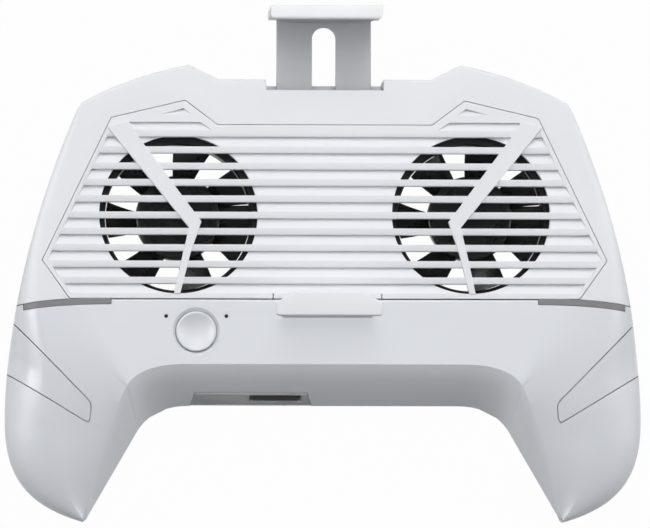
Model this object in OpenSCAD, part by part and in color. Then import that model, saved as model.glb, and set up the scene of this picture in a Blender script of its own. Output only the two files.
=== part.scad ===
// Grip-style phone cooler: two fans behind a louvred panel, with a pull-out phone clamp.
// The part lies on its back. X runs across the grips, Y up towards the clamp, Z out of the front face.

/* [Body] */
// Width across the two grips
body_w = 175.8; // [170:0.1:182]
// Top edge of the case, above the centre line
top_y = 50.5; // [49:0.5:53]
// Rise of the shoulders above the top edge
shoulder_rise = 4; // [2:0.5:6]
// Flat lower edge between the grips, below the centre line
arch_y = 39; // [38:0.5:41]
// Crease between the front face and the lower bevel, below the centre line
crease_y = 28; // [27:0.5:30]
// Lowest point of the grips, below the centre line
tip_y = 71.1; // [69:0.1:76]
// Front face above the back
front_z = 24; // [23:0.5:27]
// Front of the grip tips above the back
tip_face_z = 13; // [12.8:0.1:16]
// Plane where the front and rear shells meet
parting_z = 11; // [10.5:0.25:11.5]
// Wall of the three shells
wall = 2.2; // [1.8:0.1:2.5]
// Rounding of the front edge at the shoulders
edge_r = 0.9; // [0.6:0.1:3]
// Rounding of the front edge at the grips
grip_r = 15; // [10:0.5:18]
// Rounding of the back edge at the shoulders
rear_edge_r = 4; // [3:0.5:6]
// Rounding of the back edge at the grips
rear_grip_r = 11; // [8:0.5:13]
// Seam between the upper and lower front shells, below the centre line
seam_y = 10.07; // [9.8:0.01:10.4]
// Bevel along the top edge of the lower front shell
seam_bevel = 0.65; // [0.3:0.05:1]
// Room between the fan frames and the corners of the case
corner_room = 4.9; // [4:0.1:8]

/* [Louvre panel] */
// Thickness of the panel
panel_t = 3.5; // [3:0.1:4]
// Top edge of the panel, above the centre line
panel_top_y = 37.9; // [37.4:0.1:38.6]
// Lower edge of the first slat, above the centre line
first_slat_y = 34.6; // [34:0.1:35]
// Number of slats
slat_count = 10; // [8:1:10]
// Distance from slat to slat
slat_pitch = 4.494; // [4.3:0.001:4.5]
// Height of a slat
slat_h = 1.8; // [1.4:0.1:2.2]
// Depth of the sloped grooves between slats
groove_d = 1.9; // [1.2:0.1:2.4]
// Height of the bevel along the lower edge of a slat
slat_bevel_h = 0.9; // [0.5:0.1:1.2]
// Depth of the bevel along the lower edge of a slat
slat_bevel_d = 0.25; // [0.1:0.05:0.4]
// Depth of the recesses above the first slat
recess_d = 1.1; // [0.8:0.1:1.6]
// Rim between the grooves and the edge of the panel
panel_rim = 1.25; // [1:0.05:2]
// Thickness of the diagonal bars over the fans
bar_t = 2.4; // [1.8:0.1:3]

/* [Fans] */
// Gap between the clamp guide and the fan frames
fan_gap = 1.8; // [1:0.1:3]
// Openings over the fans above the centre line
vent_y = 13.2; // [12.8:0.1:13.6]
// Fan axes below the middle of the openings over them
fan_drop = 0.6; // [0:0.1:0.8]
// Step from the ducts out to the openings in the panel
vent_step = 0.1; // [0:0.05:0.5]
// Side of the square fan frame
fan_size = 46; // [45.6:0.1:46.4]
// Thickness of the fan frame
fan_t = 10; // [9.6:0.1:10.4]
// Wall of the fan frame at the middle of its sides
bore_wall = 2.5; // [2:0.1:3]
// Step from the bore of the fan frames out to the ducts in the rear shell
duct_step = 1.2; // [0.6:0.1:1.4]
// Screw holes in from the edges of the fan frame
fan_hole_in = 4; // [3.6:0.1:4.4]
// Number of blades
blade_count = 7; // [5:1:9]
// Diameter of the rotor hub
hub_d = 22; // [20:0.1:23]
// Gap between the blade tips and the bore
tip_gap = 0.8; // [0.5:0.1:1.2]
// Angle that a blade spans, in degrees
blade_span = 28; // [22:1:36]
// Thickness of a blade
blade_t = 0.9; // [0.7:0.1:1.2]
// Diameter of the fan shaft
shaft_d = 2; // [1.5:0.1:2.4]

/* [Clamp] */
// Width of the sliding plate
plate_w = 26.1; // [25:0.1:26.6]
// Thickness of the sliding plate
plate_t = 2; // [1.6:0.1:2.2]
// Width of the slot in the plate
plate_slot_w = 6.54; // [5.5:0.02:7.5]
// Upper end of the slot, above the centre line
plate_slot_top = 65.5; // [64.6:0.1:66]
// Width of the upper jaw
jaw_w = 30.8; // [29:0.1:31.4]
// Outer face of the upper jaw, above the centre line
jaw_top_y = 70; // [70:0.1:71.5]
// Thickness of the jaw walls
jaw_wall = 2.5; // [2:0.1:2.6]
// Reach of the upper lip over the phone, from the outer face of the jaw
lip_reach = 3.9; // [3.5:0.1:5]
// Height of both jaws above the back
jaw_z = 37; // [35:0.5:40]
// Rounding of the upper jaw's long edges
jaw_r = 0.7; // [0.3:0.1:1]
// Thickness of both lips
lip_t = 2.5; // [2:0.1:3]
// Travel of the clamp outwards from the modelled place
clamp_out = 9; // [6:0.5:9.5]
// Travel of the clamp inwards, to flush with the top edge
clamp_in = 19.6; // [17:0.1:19.6]
// Width of the notch in the top edge
notch_w = 32.4; // [32:0.1:34]
// Step down of the rear shell's top edge behind the notch
rear_step = 0.9; // [0.5:0.1:1.2]
// Thickness of the soft pads
pad_t = 2; // [1:0.1:2.2]

/* [Lower jaw] */
// Lower jaw right of the middle
low_jaw_x = 0.7; // [0:0.1:1.5]
// Bevel round the front of the lower lip
low_lip_bevel = 0.6; // [0.3:0.1:1]
// Width of the lower jaw
low_jaw_w = 28.9; // [27:0.1:29.4]
// Tip of the lower lip, below the centre line
low_lip_y = 8.7; // [8.2:0.1:9.2]
// Underside of the lower jaw, below the centre line
low_jaw_y = 15.3; // [15:0.1:15.8]

/* [Button and port] */
// Diameter of the power button
button_d = 11.1; // [10:0.1:12]
// Button left of the middle
button_x = 35.4; // [34:0.1:37]
// Button below the centre line
button_y = 19; // [18.5:0.1:20]
// Depth of the cone that the button sits in
button_cone = 0.8; // [0.4:0.1:1]
// Travel of the button
button_travel = 0.8; // [0.5:0.1:0.9]
// Distance between the two indicator lights
led_spacing = 16.55; // [16:0.05:18]
// Indicator lights below the centre line
led_y = 14.8; // [14.4:0.1:15.4]
// Diameter of the indicator lights
led_d = 1; // [0.8:0.1:1.4]
// Socket left of the middle
port_x = 13.3; // [12.8:0.1:16]
// Width of the socket's mouth
port_w = 14.4; // [13.6:0.1:15]
// Height of the socket's mouth
port_h = 6.8; // [6.2:0.1:7]

/* [Fits] */
// Gap between fixed pieces
fit_gap = 0.1; // [0.05:0.05:0.2]
// Gap beside sliding pieces
slide_gap = 0.25; // [0.15:0.05:0.3]
// Radial gap of the fan shafts
run_gap = 0.03; // [0.02:0.01:0.05]

/* [Hidden] */
$fn = 64;
half_w = body_w / 2;
sides = [-1, 1];
step = 0.01;
cut = 1;

// Clamp guide across, which sets where the fans stand
guide_side_x = plate_w / 2 + slide_gap;
guide_side_t = 2.2;
fan_spacing = 2 * (guide_side_x + guide_side_t + fan_gap) + fan_size;
fan_x = fan_spacing / 2;
fan_side_x = fan_x + fan_size / 2;

// Outer outline, from the middle of the top edge round to the tip of the right grip
top_end = [29.3, top_y];
peak = [37.4, top_y + shoulder_rise];
corner = [fan_side_x + corner_room, top_y - 8.6];
shoulder_end = [corner.x - 1.2, top_y - 6.6];
shoulder_pull = [corner.x - 14.8, top_y + 1];
side_pull = [half_w - 7.5, 14.5];
grip_pull = [half_w, -19];
widest = [half_w, -43];
tip_pull_out = [half_w, 13 - tip_y];
tip_pull_in = [half_w - 5.5, 4.6 - tip_y];
tip = [half_w - 21.5, -tip_y];
seam_share = 0.6;

// Crease and inner outline, from the middle of the lower edge to the tip
crease_bend = [38, -crease_y];
crease_corner = [half_w - 33.4, -crease_y - 6];
crease_end = [half_w - 21.9, 1.3 - tip_y];
arch_bend = [37, -arch_y];
arch_corner = [half_w - 36.6, -arch_y - 7];
arch_end = [half_w - 22.5, 0.8 - tip_y];

// Stations of the loft, counted along the outline from the middle to the tip
tip_station = 7;
hollow_end = 6.65;
half_stations = concat(
    [0, 1, 2],
    [for (k = [1:3]) 2 + k / 3],
    [4],
    [for (k = [1:6]) 4 + k / 6],
    [for (k = [1:8]) 5 + k / 8],
    [for (k = [1:10]) 6 + k / 10]);
round_step = 22.5;
bevel_steps = 4;

// Heights through the case
panel_z = front_z - panel_t;
skin_z = front_z - wall;
ledge_t = 1.8;
ledge_z = panel_z - ledge_t;
fan_top_z = ledge_z - fit_gap;
fan_z = fan_top_z - fan_t;
bevel_end_z = parting_z + 0.8;
grip_slope_start = 4.7;

// Fans
fan_y = vent_y - fan_drop;
bore_r = fan_size / 2 - bore_wall;
duct_r = bore_r + duct_step;
vent_r = duct_r + vent_step;
fan_hole_pitch = fan_size - 2 * fan_hole_in;
fan_screw_bite = 5;
board_screw_bite = 4;
guide_screw_bite = 5;
hub_r = hub_d / 2;
fan_plate_t = 1.2;
strut_t = 1.7;
strut_lift = 0.2;
strut_w = 2.2;
strut_count = 3;
strut_start = -5;
lead_strut_w = 6;
collar_t = 2;
fan_boss_r = 3;
screw_r = 1.15;
screw_hole_r = 1.2;
screw_head_r = 2.1;
screw_head_t = 1.4;
cup_t = 1.25;
cup_top_t = 1.4;
tube_r = 3.2;
tube_bore_r = 2.5;
blade_low_z = fan_z + 2.5;
blade_high_z = fan_top_z - 1.1;
cup_low_z = fan_z + strut_t + 0.3;
cup_high_z = fan_top_z - 1.3;
tube_top_z = cup_high_z - cup_top_t - 0.3;
magnet_t = 1.1;
air_gap = 0.4;
blade_start = 44;
blade_sweep = 4;
blade_rings = 4;
blade_steps = 3;

// Clamp
plate_z = 13.85;
plate_bottom_y = 22;
guide_floor_t = 1.8;
guide_floor_z = plate_z - slide_gap - guide_floor_t;
guide_lip_w = 2;
guide_lip_z = plate_z + plate_t + slide_gap;
guide_top_z = ledge_z - 0.4;
guide_end_y = 46.8;
guide_end_t = 2;
guide_tail_y = -12.3;
guide_wall_y = -0.5;
pin_r = plate_slot_w / 2 - slide_gap;
pin_y = plate_slot_top - plate_slot_w / 2 - clamp_in - 2.5;
pin_head_r = pin_r + 1.5;
plate_slot_low = pin_y - clamp_out - slide_gap - plate_slot_w / 2;
notch_y = jaw_top_y - clamp_in - jaw_wall - 0.4;
leaf_x = 8.5;
leaf_w = 5;
leaf_y = 33;
leaf_half = 6;
leaf_t = 0.4;
post_r = 2.75;
post_x = 11.5;
post_high_y = 41;
post_low_y = -9.4;

// Lower jaw
low_wall_y = -low_jaw_y + 0.2;
low_seat_y = low_wall_y + jaw_wall + 0.8;
low_neck_half = low_jaw_w / 2 - 2;
tab_half = low_jaw_w / 2 + 0.5;
tab_slit_w = 0.25;
tab_slit_h = 1.5;
low_flange_t = 1.8;

// Button, board and port
button_gap = 0.2;
button_flange_r = button_d / 2 + 1;
button_flange_t = 1.2;
board_t = 1.6;
board_top_z = 8.9;
board_z = board_top_z - board_t;
board_low = [-44.6, -34.8];
board_high = [-3, -12.6];
switch_size = 6;
switch_h = 3.6;
plunger_h = 1.4;
stem_r = 2;
stem_low_z = board_top_z + switch_h + plunger_h + button_travel + 0.1;
pipe_flange_r = 1.3;
board_posts = [[-41.5, -31], [-6, -15.6]];
case_posts = [[26, 43.3], [48, -20], [73, -46]];
case_boss_r = 3.2;
case_head_r = 2.4;
case_head_low_z = 1.2;
case_head_t = 1.8;
case_screw_top_z = 15;
port_face_high = [-arch_y + 3, 16.4];
port_face_low = [-arch_y + 0.7, 7.4];
port_plate_t = 1.8;
port_top_half = 14.45;
port_low_half = 17.9;
port_mid_x = -20.1;
port_mid_z = board_top_z + 2.9;
port_depth = 12.5;
port_shell_t = 0.35;
port_shell_w = 13.2;
port_shell_h = 5.8;

// Leads inside the case, from each fan and from the battery to the board
lead_r = 0.7;
lead_out = 1.8;
fan_face_y = fan_y - fan_size / 2;
battery_size = [29, 39, 7];
battery_y = 15;
battery_face_y = battery_y - battery_size.y / 2;
left_lead = [
    [-30, fan_face_y, 10.6], [-30, fan_face_y - lead_out, 10.6], [-30.2, -13.6, 9.7], [-30.4, -17, 9.7]];
right_lead = [
    [27, fan_face_y, 11.4], [27, fan_face_y - lead_out, 11.4], [24, -14.2, 11.4], [-9, -14.4, 11.4],
    [-12, -15.8, 9.7], [-18, -15.8, 9.7]];
battery_path = [
    [-5, battery_face_y, 6], [-5, battery_face_y - lead_out, 6], [-5, -12.2, 9.8], [-9, -13.4, 9.8],
    [-16, -13.6, 9.7]];

// Seam strips
trim_h = 1.65;
trim_in = [half_w - 29.1, -seam_y - 0.98];
trim_pull = [half_w - 15.9, -seam_y - 0.98];
trim_out = [half_w - 1.4, -seam_y - 3.3];
trim_share = 0.87;
trim_steps = 6;
trim_first = 2;
trim_last = 5.5;

// Grip inlays, as a wedge that runs off the side of the grip
inlay_t = 1.2;
inlay_high_out = [half_w + 8, -6];
inlay_high_in = [half_w - 24, -38.7];
inlay_low_in = [half_w - 23.3, -44.5];
inlay_low_out = [half_w + 8, -25.5];
inlay_r = 1.5;
inlay_first = 5;
inlay_last = 6.1;

white = [0.89, 0.9, 0.92];
shell_white = [0.84, 0.85, 0.87];
strip_grey = [0.55, 0.55, 0.57];
fan_black = [0.12, 0.12, 0.13];
rotor_black = [0.17, 0.17, 0.18];
pad_grey = [0.75, 0.76, 0.78];
steel = [0.75, 0.75, 0.77];
copper = [0.72, 0.42, 0.2];
brass = [0.78, 0.62, 0.3];
board_green = [0.1, 0.35, 0.2];
cell_silver = [0.65, 0.66, 0.7];

// Curves and blends

function mix(a, b, u) = a + (b - a) * u;
function bend2(a, b, c, u) = mix(mix(a, b, u), mix(b, c, u), u);
function bend3(a, b, c, d, u) = mix(bend2(a, b, c, u), bend2(b, c, d, u), u);
function unit(v) = v / norm(v);
function limit(u) = min(1, max(0, u));
function ease(u) = let (v = limit(u)) v * v * (3 - 2 * v);
function right_of(v) = unit([v.y, -v.x]);
function flip(p) = [-p.x, p.y];
function both_sides(points) =
    concat(points, [for (k = [len(points) - 1:-1:0]) if (points[k].x > step) flip(points[k])]);

// Outlines of the case along its stations

function outer_at(t) =
    t < 1 ? mix([0, top_y], top_end, t) :
    t < 2 ? mix(top_end, peak, t - 1) :
    t < 3 ? bend2(peak, shoulder_pull, shoulder_end, t - 2) :
    t < 4 ? mix(shoulder_end, corner, t - 3) :
    t < 5 ? bend3(corner, side_pull, grip_pull, widest, seam_share * (t - 4)) :
    t < 6 ? bend3(corner, side_pull, grip_pull, widest, mix(seam_share, 1, t - 5)) :
    bend3(widest, tip_pull_out, tip_pull_in, tip, t - 6);

function crease_at(t) =
    t < 1 ? [top_end.x * t, -crease_y] :
    t < 2 ? mix([top_end.x, -crease_y], crease_bend, t - 1) :
    t < 5 ? bend3(crease_bend, crease_bend + [8, 0], crease_corner + [-3, 4.5], crease_corner, (t - 2) / 3) :
    bend3(crease_corner, crease_corner + [4, -8], crease_end + [-2.6, 14.8], crease_end, (t - 5) / 2);

function inner_at(t) =
    t < 1 ? [top_end.x * t, -arch_y] :
    t < 2 ? mix([top_end.x, -arch_y], arch_bend, t - 1) :
    t < 5 ? bend3(arch_bend, arch_bend + [7, 0], arch_corner + [-2.8, 4.5], arch_corner, (t - 2) / 3) :
    mix(arch_corner, arch_end, (t - 5) / 2);

function outer_in(t, inset) =
    outer_at(t) + inset * right_of(outer_at(min(tip_station, t + step)) - outer_at(max(0, t - step)));
function inner_in(t, inset) =
    inner_at(t) - inset * right_of(inner_at(min(tip_station, t + step)) - inner_at(max(0, t - step)));

// Height of the front face and the roundings at a station

function down_grip(t) = limit((t - grip_slope_start) / (tip_station - grip_slope_start));
function face_z(t) = mix(front_z, tip_face_z, pow(down_grip(t), 1.8));
function edge_across(t) = mix(edge_r, grip_r, ease((t - 4.75) / 1.5));
function edge_down(t) = mix(edge_r, front_z - parting_z, ease((t - 4.75) / 1.2));
function crease_drop(t) = 1.4 * ease((t - 4.8) / 1.2);
function rear_across(t) = mix(rear_edge_r, rear_grip_r, ease((t - 4.5) / 1.5));
function rear_z(t) = 4.5 * pow(limit((t - 6) / (tip_station - 6)), 2);

// Cross-section of the front half at a station, from the outer edge over the crease to the inner edge
function front_section(t, inset, low_z) =
    let (
        o = outer_in(t, inset),
        i = inner_in(t, inset),
        c = crease_at(t) + inset * 0.4 * unit(outer_at(t) - crease_at(t)),
        top = face_z(t) - inset,
        across = min(edge_across(t), 0.6 * norm(c - o)),
        down = min(edge_down(t), top - max(low_z, parting_z) - 0.5),
        inward = unit(c - o),
        crease_z = top - crease_drop(t),
        end_z = min(bevel_end_z, crease_z - 0.4),
        swell = mix(c, i, 0.62),
        swell_z = mix(crease_z, end_z, 0.3))
    concat(
        [[o.x, o.y, low_z]],
        [for (a = [0:round_step:90])
            let (p = o + inward * across * (1 - cos(a))) [p.x, p.y, top - down * (1 - sin(a))]],
        [for (k = [0:bevel_steps])
            let (u = k / bevel_steps, p = bend2(c, swell, i, u))
                [p.x, p.y, bend2(crease_z, swell_z, end_z, u)]],
        [[i.x, i.y, low_z]]);

// Cross-section of the rear half at a station, with rounded edges down to the flat back
function rear_section(t, inset, high_z) =
    let (
        o = outer_in(t, inset),
        i = inner_in(t, inset),
        inward = unit(i - o),
        across = min(rear_across(t), 0.45 * norm(i - o)),
        floor_z = rear_z(t) + inset,
        edge_z = parting_z - step)
    concat(
        [[o.x, o.y, high_z]],
        [[i.x, i.y, high_z]],
        [for (a = [0:round_step:90])
            let (p = i - inward * across * (1 - cos(a))) [p.x, p.y, mix(edge_z, floor_z, sin(a))]],
        [for (a = [90:-round_step:0])
            let (p = o + inward * across * (1 - cos(a))) [p.x, p.y, mix(edge_z, floor_z, sin(a))]]);

function mirrored_rings(rings) =
    concat(
        [for (k = [len(rings) - 1:-1:1]) [for (p = rings[k]) [-p.x, p.y, p.z]]],
        rings);

// Solid through a row of rings with the same number of points
module loft(rings) {
    n = len(rings);
    k = len(rings[0]);
    sides_faces = [
        for (i = [0:n - 2])
            for (j = [0:k - 1])
                let (a = i * k + j, b = a + k, a2 = i * k + (j + 1) % k, b2 = a2 + k)
                    each [[a, b, b2], [a, b2, a2]]];
    first_cap = [for (j = [1:k - 2]) [0, j, j + 1]];
    last_cap = [for (j = [1:k - 2]) [(n - 1) * k, (n - 1) * k + j + 1, (n - 1) * k + j]];
    polyhedron(points = [for (r = rings) each r], faces = concat(sides_faces, first_cap, last_cap));
}

module front_solid(inset = 0, low_z = parting_z, last = tip_station) {
    loft(mirrored_rings([for (t = half_stations) if (t <= last) front_section(t, inset, low_z)]));
}

// Stretch of the front half on one side, between two stations
module front_stretch(s, first, last, inset = 0, low_z = parting_z) {
    on_side(s)
        loft([
            for (t = half_stations)
                if (t >= first - step && t <= last + step)
                    front_section(t, inset, low_z)]);
}

module on_side(s) {
    if (s < 0)
        mirror([1, 0, 0])
            children();
    else
        children();
}

module rear_solid(inset = 0, high_z = parting_z, last = tip_station) {
    loft(mirrored_rings([for (t = half_stations) if (t <= last) rear_section(t, inset, high_z)]));
}

module front_skin() {
    difference() {
        front_solid();
        front_solid(wall, parting_z - cut, hollow_end);
    }
}

// Plan regions that share out the front skin

function trim_line(u) = bend2(trim_in, trim_pull, trim_out, u);
function trim_edge(offset_y, last = 1) =
    [for (k = [0:trim_steps]) trim_line(last * k / trim_steps) + [0, offset_y]];

module bezel_region() {
    edge = trim_edge(trim_h / 2 + fit_gap);
    polygon(both_sides(concat(
        [[0, -seam_y + fit_gap], [trim_in.x, -seam_y + fit_gap]],
        edge,
        [[body_w, edge[trim_steps].y], [body_w, body_w], [0, body_w]])));
}

module lower_region() {
    edge = trim_edge(-trim_h / 2 - fit_gap, trim_share);
    past = [for (u = [1, trim_share]) trim_line(u) + [fit_gap, trim_h / 2 - fit_gap]];
    polygon(both_sides(concat(
        [[0, -body_w], [body_w, -body_w], [body_w, past[0].y]],
        past,
        [[past[1].x, edge[trim_steps].y]],
        [for (k = [trim_steps - 1:-1:0]) edge[k]],
        [[trim_in.x - fit_gap, edge[0].y], [trim_in.x - fit_gap, -seam_y - fit_gap], [0, -seam_y - fit_gap]])));
}

module trim_region() {
    low = trim_edge(-trim_h / 2, trim_share);
    high = trim_edge(trim_h / 2, trim_share);
    polygon(concat(low, [for (k = [trim_steps:-1:0]) high[k]]));
}

module inlay_region(shrink) {
    offset(delta = -shrink)
        offset(r = inlay_r, $fn = 24)
            offset(delta = -inlay_r)
                polygon([inlay_high_out, inlay_high_in, inlay_low_in, inlay_low_out]);
}

// Louvre panel outline and its cuts

module panel_outline(grow = 0) {
    offset(delta = grow)
        polygon(both_sides([
            [0, panel_top_y],
            [29.6, panel_top_y],
            [38.5, panel_top_y + 6.7],
            [corner.x - 9.4, panel_top_y + 1.9],
            [half_w - 10.2, 0.55],
            [half_w - 17.3, fit_gap - seam_y + 0.5],
            [half_w - 18, fit_gap - seam_y],
            [0, fit_gap - seam_y]]));
}

module bar_outline() {
    polygon([
        [fan_x + 19.6, 37.3], [fan_x - 2.9, 9.6], [fan_x - 1.2, 2.45], [fan_x + 1.2, -8.6],
        [fan_x - 0.5, -8.6], [fan_x - 3.3, 2.45], [fan_x - 6.3, 11.2], [fan_x + 11.1, 34.6],
        [fan_x + 14.2, 38.8]]);
}

// Recesses above the first slat, deepest along their upper edge and flush below
module recesses() {
    high_y = panel_top_y + 0.7;
    low_y = first_slat_y + slat_h;
    sloped(high_y, low_y)
        polygon([[fan_x + 13.6, high_y], [fan_x - 6.1, high_y], [fan_x - 9.1, low_y], [fan_x + 12, low_y]]);
    sloped(high_y + 3.8, high_y + 2.1)
        polygon([[fan_x + 4.8, high_y + 2.1], [fan_x - 1.4, high_y + 3.8], [fan_x - 3.6, high_y + 2.1]]);
}

module sloped(high_y, low_y) {
    intersection() {
        translate([0, 0, front_z - recess_d - cut])
            linear_extrude(recess_d + 2 * cut)
                children();
        along_x(2 * body_w)
            polygon([
                [high_y + cut, front_z + cut], [high_y + cut, front_z - recess_d], [high_y, front_z - recess_d],
                [low_y, front_z], [low_y, front_z + cut]]);
    }
}

// Prism along X with its outline given in Y and Z
module along_x(length) {
    rotate([90, 0, 90])
        linear_extrude(length, center = true)
            children();
}

module at_fans() {
    for (s = sides)
        translate([s * fan_x, fan_y, 0])
            children();
}

module at_vents() {
    for (s = sides)
        translate([s * fan_x, vent_y, 0])
            children();
}

module at_corners(pitch) {
    for (sx = sides)
        for (sy = sides)
            translate([sx * pitch / 2, sy * pitch / 2, 0])
                children();
}

module at_case_posts(list) {
    for (s = sides)
        for (p = list)
            translate([s * p.x, p.y, 0])
                children();
}

module rounded_rect(w, h, r) {
    square([w - 2 * r, h], center = true);
    square([w, h - 2 * r], center = true);
    for (sx = sides)
        for (sy = sides)
            translate([sx * (w / 2 - r), sy * (h / 2 - r)])
                circle(r);
}

module tube(outer_r, inner_r, low, high) {
    translate([0, 0, low])
        difference() {
            cylinder(r = outer_r, h = high - low);
            translate([0, 0, -cut])
                cylinder(r = inner_r, h = high - low + 2 * cut);
        }
}

module rod(r, low, high) {
    translate([0, 0, low])
        cylinder(r = r, h = high - low);
}

module block(low, high) {
    translate(low)
        cube(high - low);
}

// Shells

module panel_ledge() {
    translate([0, 0, ledge_z])
        linear_extrude(ledge_t)
            difference() {
                panel_outline(2);
                panel_outline(-2.5);
            }
    translate([0, 0, ledge_z])
        linear_extrude(skin_z - ledge_z + 0.5)
            intersection() {
                difference() {
                    panel_outline(2);
                    panel_outline(fit_gap);
                }
                bezel_region();
            }
}

module front_bezel() {
    color(white)
    difference() {
        union() {
            intersection() {
                front_skin();
                linear_extrude(body_w)
                    bezel_region();
            }
            panel_ledge();
            at_case_posts([case_posts[0]])
                rod(case_boss_r, parting_z + fit_gap, skin_z + 0.5);
        }
        translate([0, 0, panel_z])
            linear_extrude(panel_t + cut)
                panel_outline(fit_gap);
        block([-notch_w / 2, notch_y, parting_z - cut], [notch_w / 2, top_y + cut, front_z + cut]);
        at_vents()
            rod(vent_r, ledge_z - cut, panel_z + cut);
        at_case_posts([case_posts[0]])
            rod(screw_hole_r, parting_z - cut, case_screw_top_z + 0.5);
    }
}

module louvre_panel() {
    color(white) {
        difference() {
            translate([0, 0, panel_z])
                linear_extrude(panel_t)
                    panel_outline();
            intersection() {
                translate([0, 0, panel_z])
                    linear_extrude(panel_t + cut)
                        panel_outline(-panel_rim);
                union()
                    for (k = [0:slat_count - 1])
                        groove(first_slat_y - k * slat_pitch);
            }
            intersection() {
                at_vents()
                    rod(vent_r, panel_z - cut, front_z + cut);
                union()
                    for (k = [0:slat_count - 1])
                        block(
                            [-body_w, first_slat_y - (k + 1) * slat_pitch + slat_h, panel_z - cut],
                            [body_w, first_slat_y - k * slat_pitch, front_z + cut]);
            }
            for (s = sides) {
                on_side(s)
                    recesses();
                translate([low_jaw_x + s * tab_half, -seam_y, 0])
                    block([-tab_slit_w / 2, -cut, panel_z - cut], [tab_slit_w / 2, tab_slit_h, front_z + cut]);
            }
        }
        for (s = sides)
            on_side(s)
                translate([0, 0, front_z - bar_t])
                    linear_extrude(bar_t)
                        bar_outline();
    }
}

// Bevel of a slat and the sloped groove below it: deepest under the slat, flush at the next one
module groove(y) {
    next_y = y - slat_pitch + slat_h;
    along_x(2 * body_w)
        polygon([
            [y + 2 * slat_bevel_h, front_z + cut], [y + 2 * slat_bevel_h, front_z + slat_bevel_d],
            [y, front_z - slat_bevel_d], [y, front_z - groove_d],
            [next_y, front_z], [next_y, front_z + cut]]);
}

module port_cut(grow) {
    intersection() {
        along_x(2 * body_w)
            polygon([
                [port_face_high.x - 8, port_face_high.y + 4 + grow],
                [port_face_high.x + port_plate_t + grow, port_face_high.y + grow],
                [port_face_low.x + port_plate_t + grow, port_face_low.y - grow],
                [port_face_low.x - 8, port_face_low.y - 1 - grow]]);
        translate([port_mid_x, 0, 0])
            rotate([90, 0, 0])
                linear_extrude(body_w)
                    polygon([
                        [-port_low_half - grow, port_face_low.y - 2],
                        [port_low_half + grow, port_face_low.y - 2],
                        [port_top_half + grow, port_face_high.y + 5],
                        [-port_top_half - grow, port_face_high.y + 5]]);
    }
}

module lower_front_shell() {
    color(shell_white)
    difference() {
        union() {
            intersection() {
                front_skin();
                linear_extrude(body_w)
                    lower_region();
            }
            at_case_posts([case_posts[1]])
                rod(case_boss_r, parting_z + fit_gap, skin_z + 0.5);
            at_case_posts([case_posts[2]])
                rod(case_boss_r, parting_z + fit_gap, skin_z - 2.6);
        }
        for (s = sides)
            difference() {
                on_side(s)
                    linear_extrude(body_w)
                        inlay_region(0);
                front_stretch(s, inlay_first, inlay_last, inlay_t + fit_gap, parting_z - 2 * cut);
            }
        along_x(2 * (trim_in.x - fit_gap))
            polygon([
                [-seam_y - fit_gap - 2 * seam_bevel, front_z + seam_bevel],
                [-seam_y - fit_gap + seam_bevel, front_z - 2 * seam_bevel],
                [-seam_y - fit_gap + seam_bevel, front_z + seam_bevel]]);
        translate([low_jaw_x, 0, 0])
            block(
                [-low_neck_half - fit_gap, low_wall_y - fit_gap, skin_z - cut],
                [low_neck_half + fit_gap, 0, front_z + cut]);
        translate([-button_x, -button_y, 0]) {
            rod(button_d / 2 + button_gap, skin_z - cut, front_z + cut);
            translate([0, 0, front_z - button_cone])
                cylinder(
                    r1 = button_d / 2 + button_gap, r2 = button_d / 2 + button_gap + button_cone + cut,
                    h = button_cone + cut);
        }
        for (s = sides)
            translate([-button_x + s * led_spacing / 2, -led_y, 0])
                rod(led_d / 2 + 0.05, skin_z - cut, front_z + cut);
        port_cut(fit_gap);
        at_case_posts([case_posts[1], case_posts[2]])
            rod(screw_hole_r, parting_z - cut, case_screw_top_z + 0.5);
    }
}

module rear_shell() {
    color(shell_white)
    difference() {
        union() {
            difference() {
                rear_solid();
                rear_solid(wall, parting_z + cut, hollow_end);
            }
            at_fans() {
                rod(duct_r + collar_t, 0, fan_z);
                at_corners(fan_hole_pitch)
                    rod(fan_boss_r, wall / 2, fan_z);
            }
            at_case_posts(case_posts)
                rod(case_boss_r, wall / 2, parting_z);
            for (s = sides)
                for (y = [post_high_y, post_low_y])
                    translate([s * post_x, y, 0])
                        rod(post_r, wall / 2, guide_floor_z);
            for (p = board_posts)
                translate([p.x, p.y, 0])
                    rod(post_r, wall / 2, board_z);
        }
        at_fans() {
            rod(duct_r, -cut, fan_z + cut);
            at_corners(fan_hole_pitch)
                rod(screw_hole_r, wall, fan_z + cut);
        }
        at_case_posts(case_posts) {
            rod(case_head_r + 0.2, -cut, case_head_low_z + case_head_t);
            rod(screw_hole_r + 0.15, -cut, parting_z + cut);
        }
        for (s = sides)
            translate([s * post_x, post_low_y, 0])
                rod(screw_hole_r, wall, guide_floor_z + cut);
        for (p = board_posts)
            translate([p.x, p.y, 0])
                rod(screw_hole_r, wall, board_z + cut);
        block([-notch_w / 2, top_y - rear_step, -cut], [notch_w / 2, top_y + cut, parting_z + cut]);
        port_cut(fit_gap);
    }
}

module trim(s) {
    color(strip_grey)
    difference() {
        intersection() {
            front_stretch(s, trim_first, trim_last);
            on_side(s)
                linear_extrude(body_w)
                    trim_region();
        }
        front_stretch(s, trim_first, trim_last, wall, parting_z - cut);
    }
}

module left_trim() {
    trim(-1);
}

module right_trim() {
    trim(1);
}

module grip_inlay(s) {
    color(shell_white)
    difference() {
        intersection() {
            front_stretch(s, inlay_first, inlay_last);
            on_side(s)
                linear_extrude(body_w)
                    inlay_region(fit_gap);
        }
        front_stretch(s, inlay_first, inlay_last, inlay_t, parting_z - 2 * cut);
    }
}

module left_grip_inlay() {
    grip_inlay(-1);
}

module right_grip_inlay() {
    grip_inlay(1);
}

// Clamp

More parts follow.
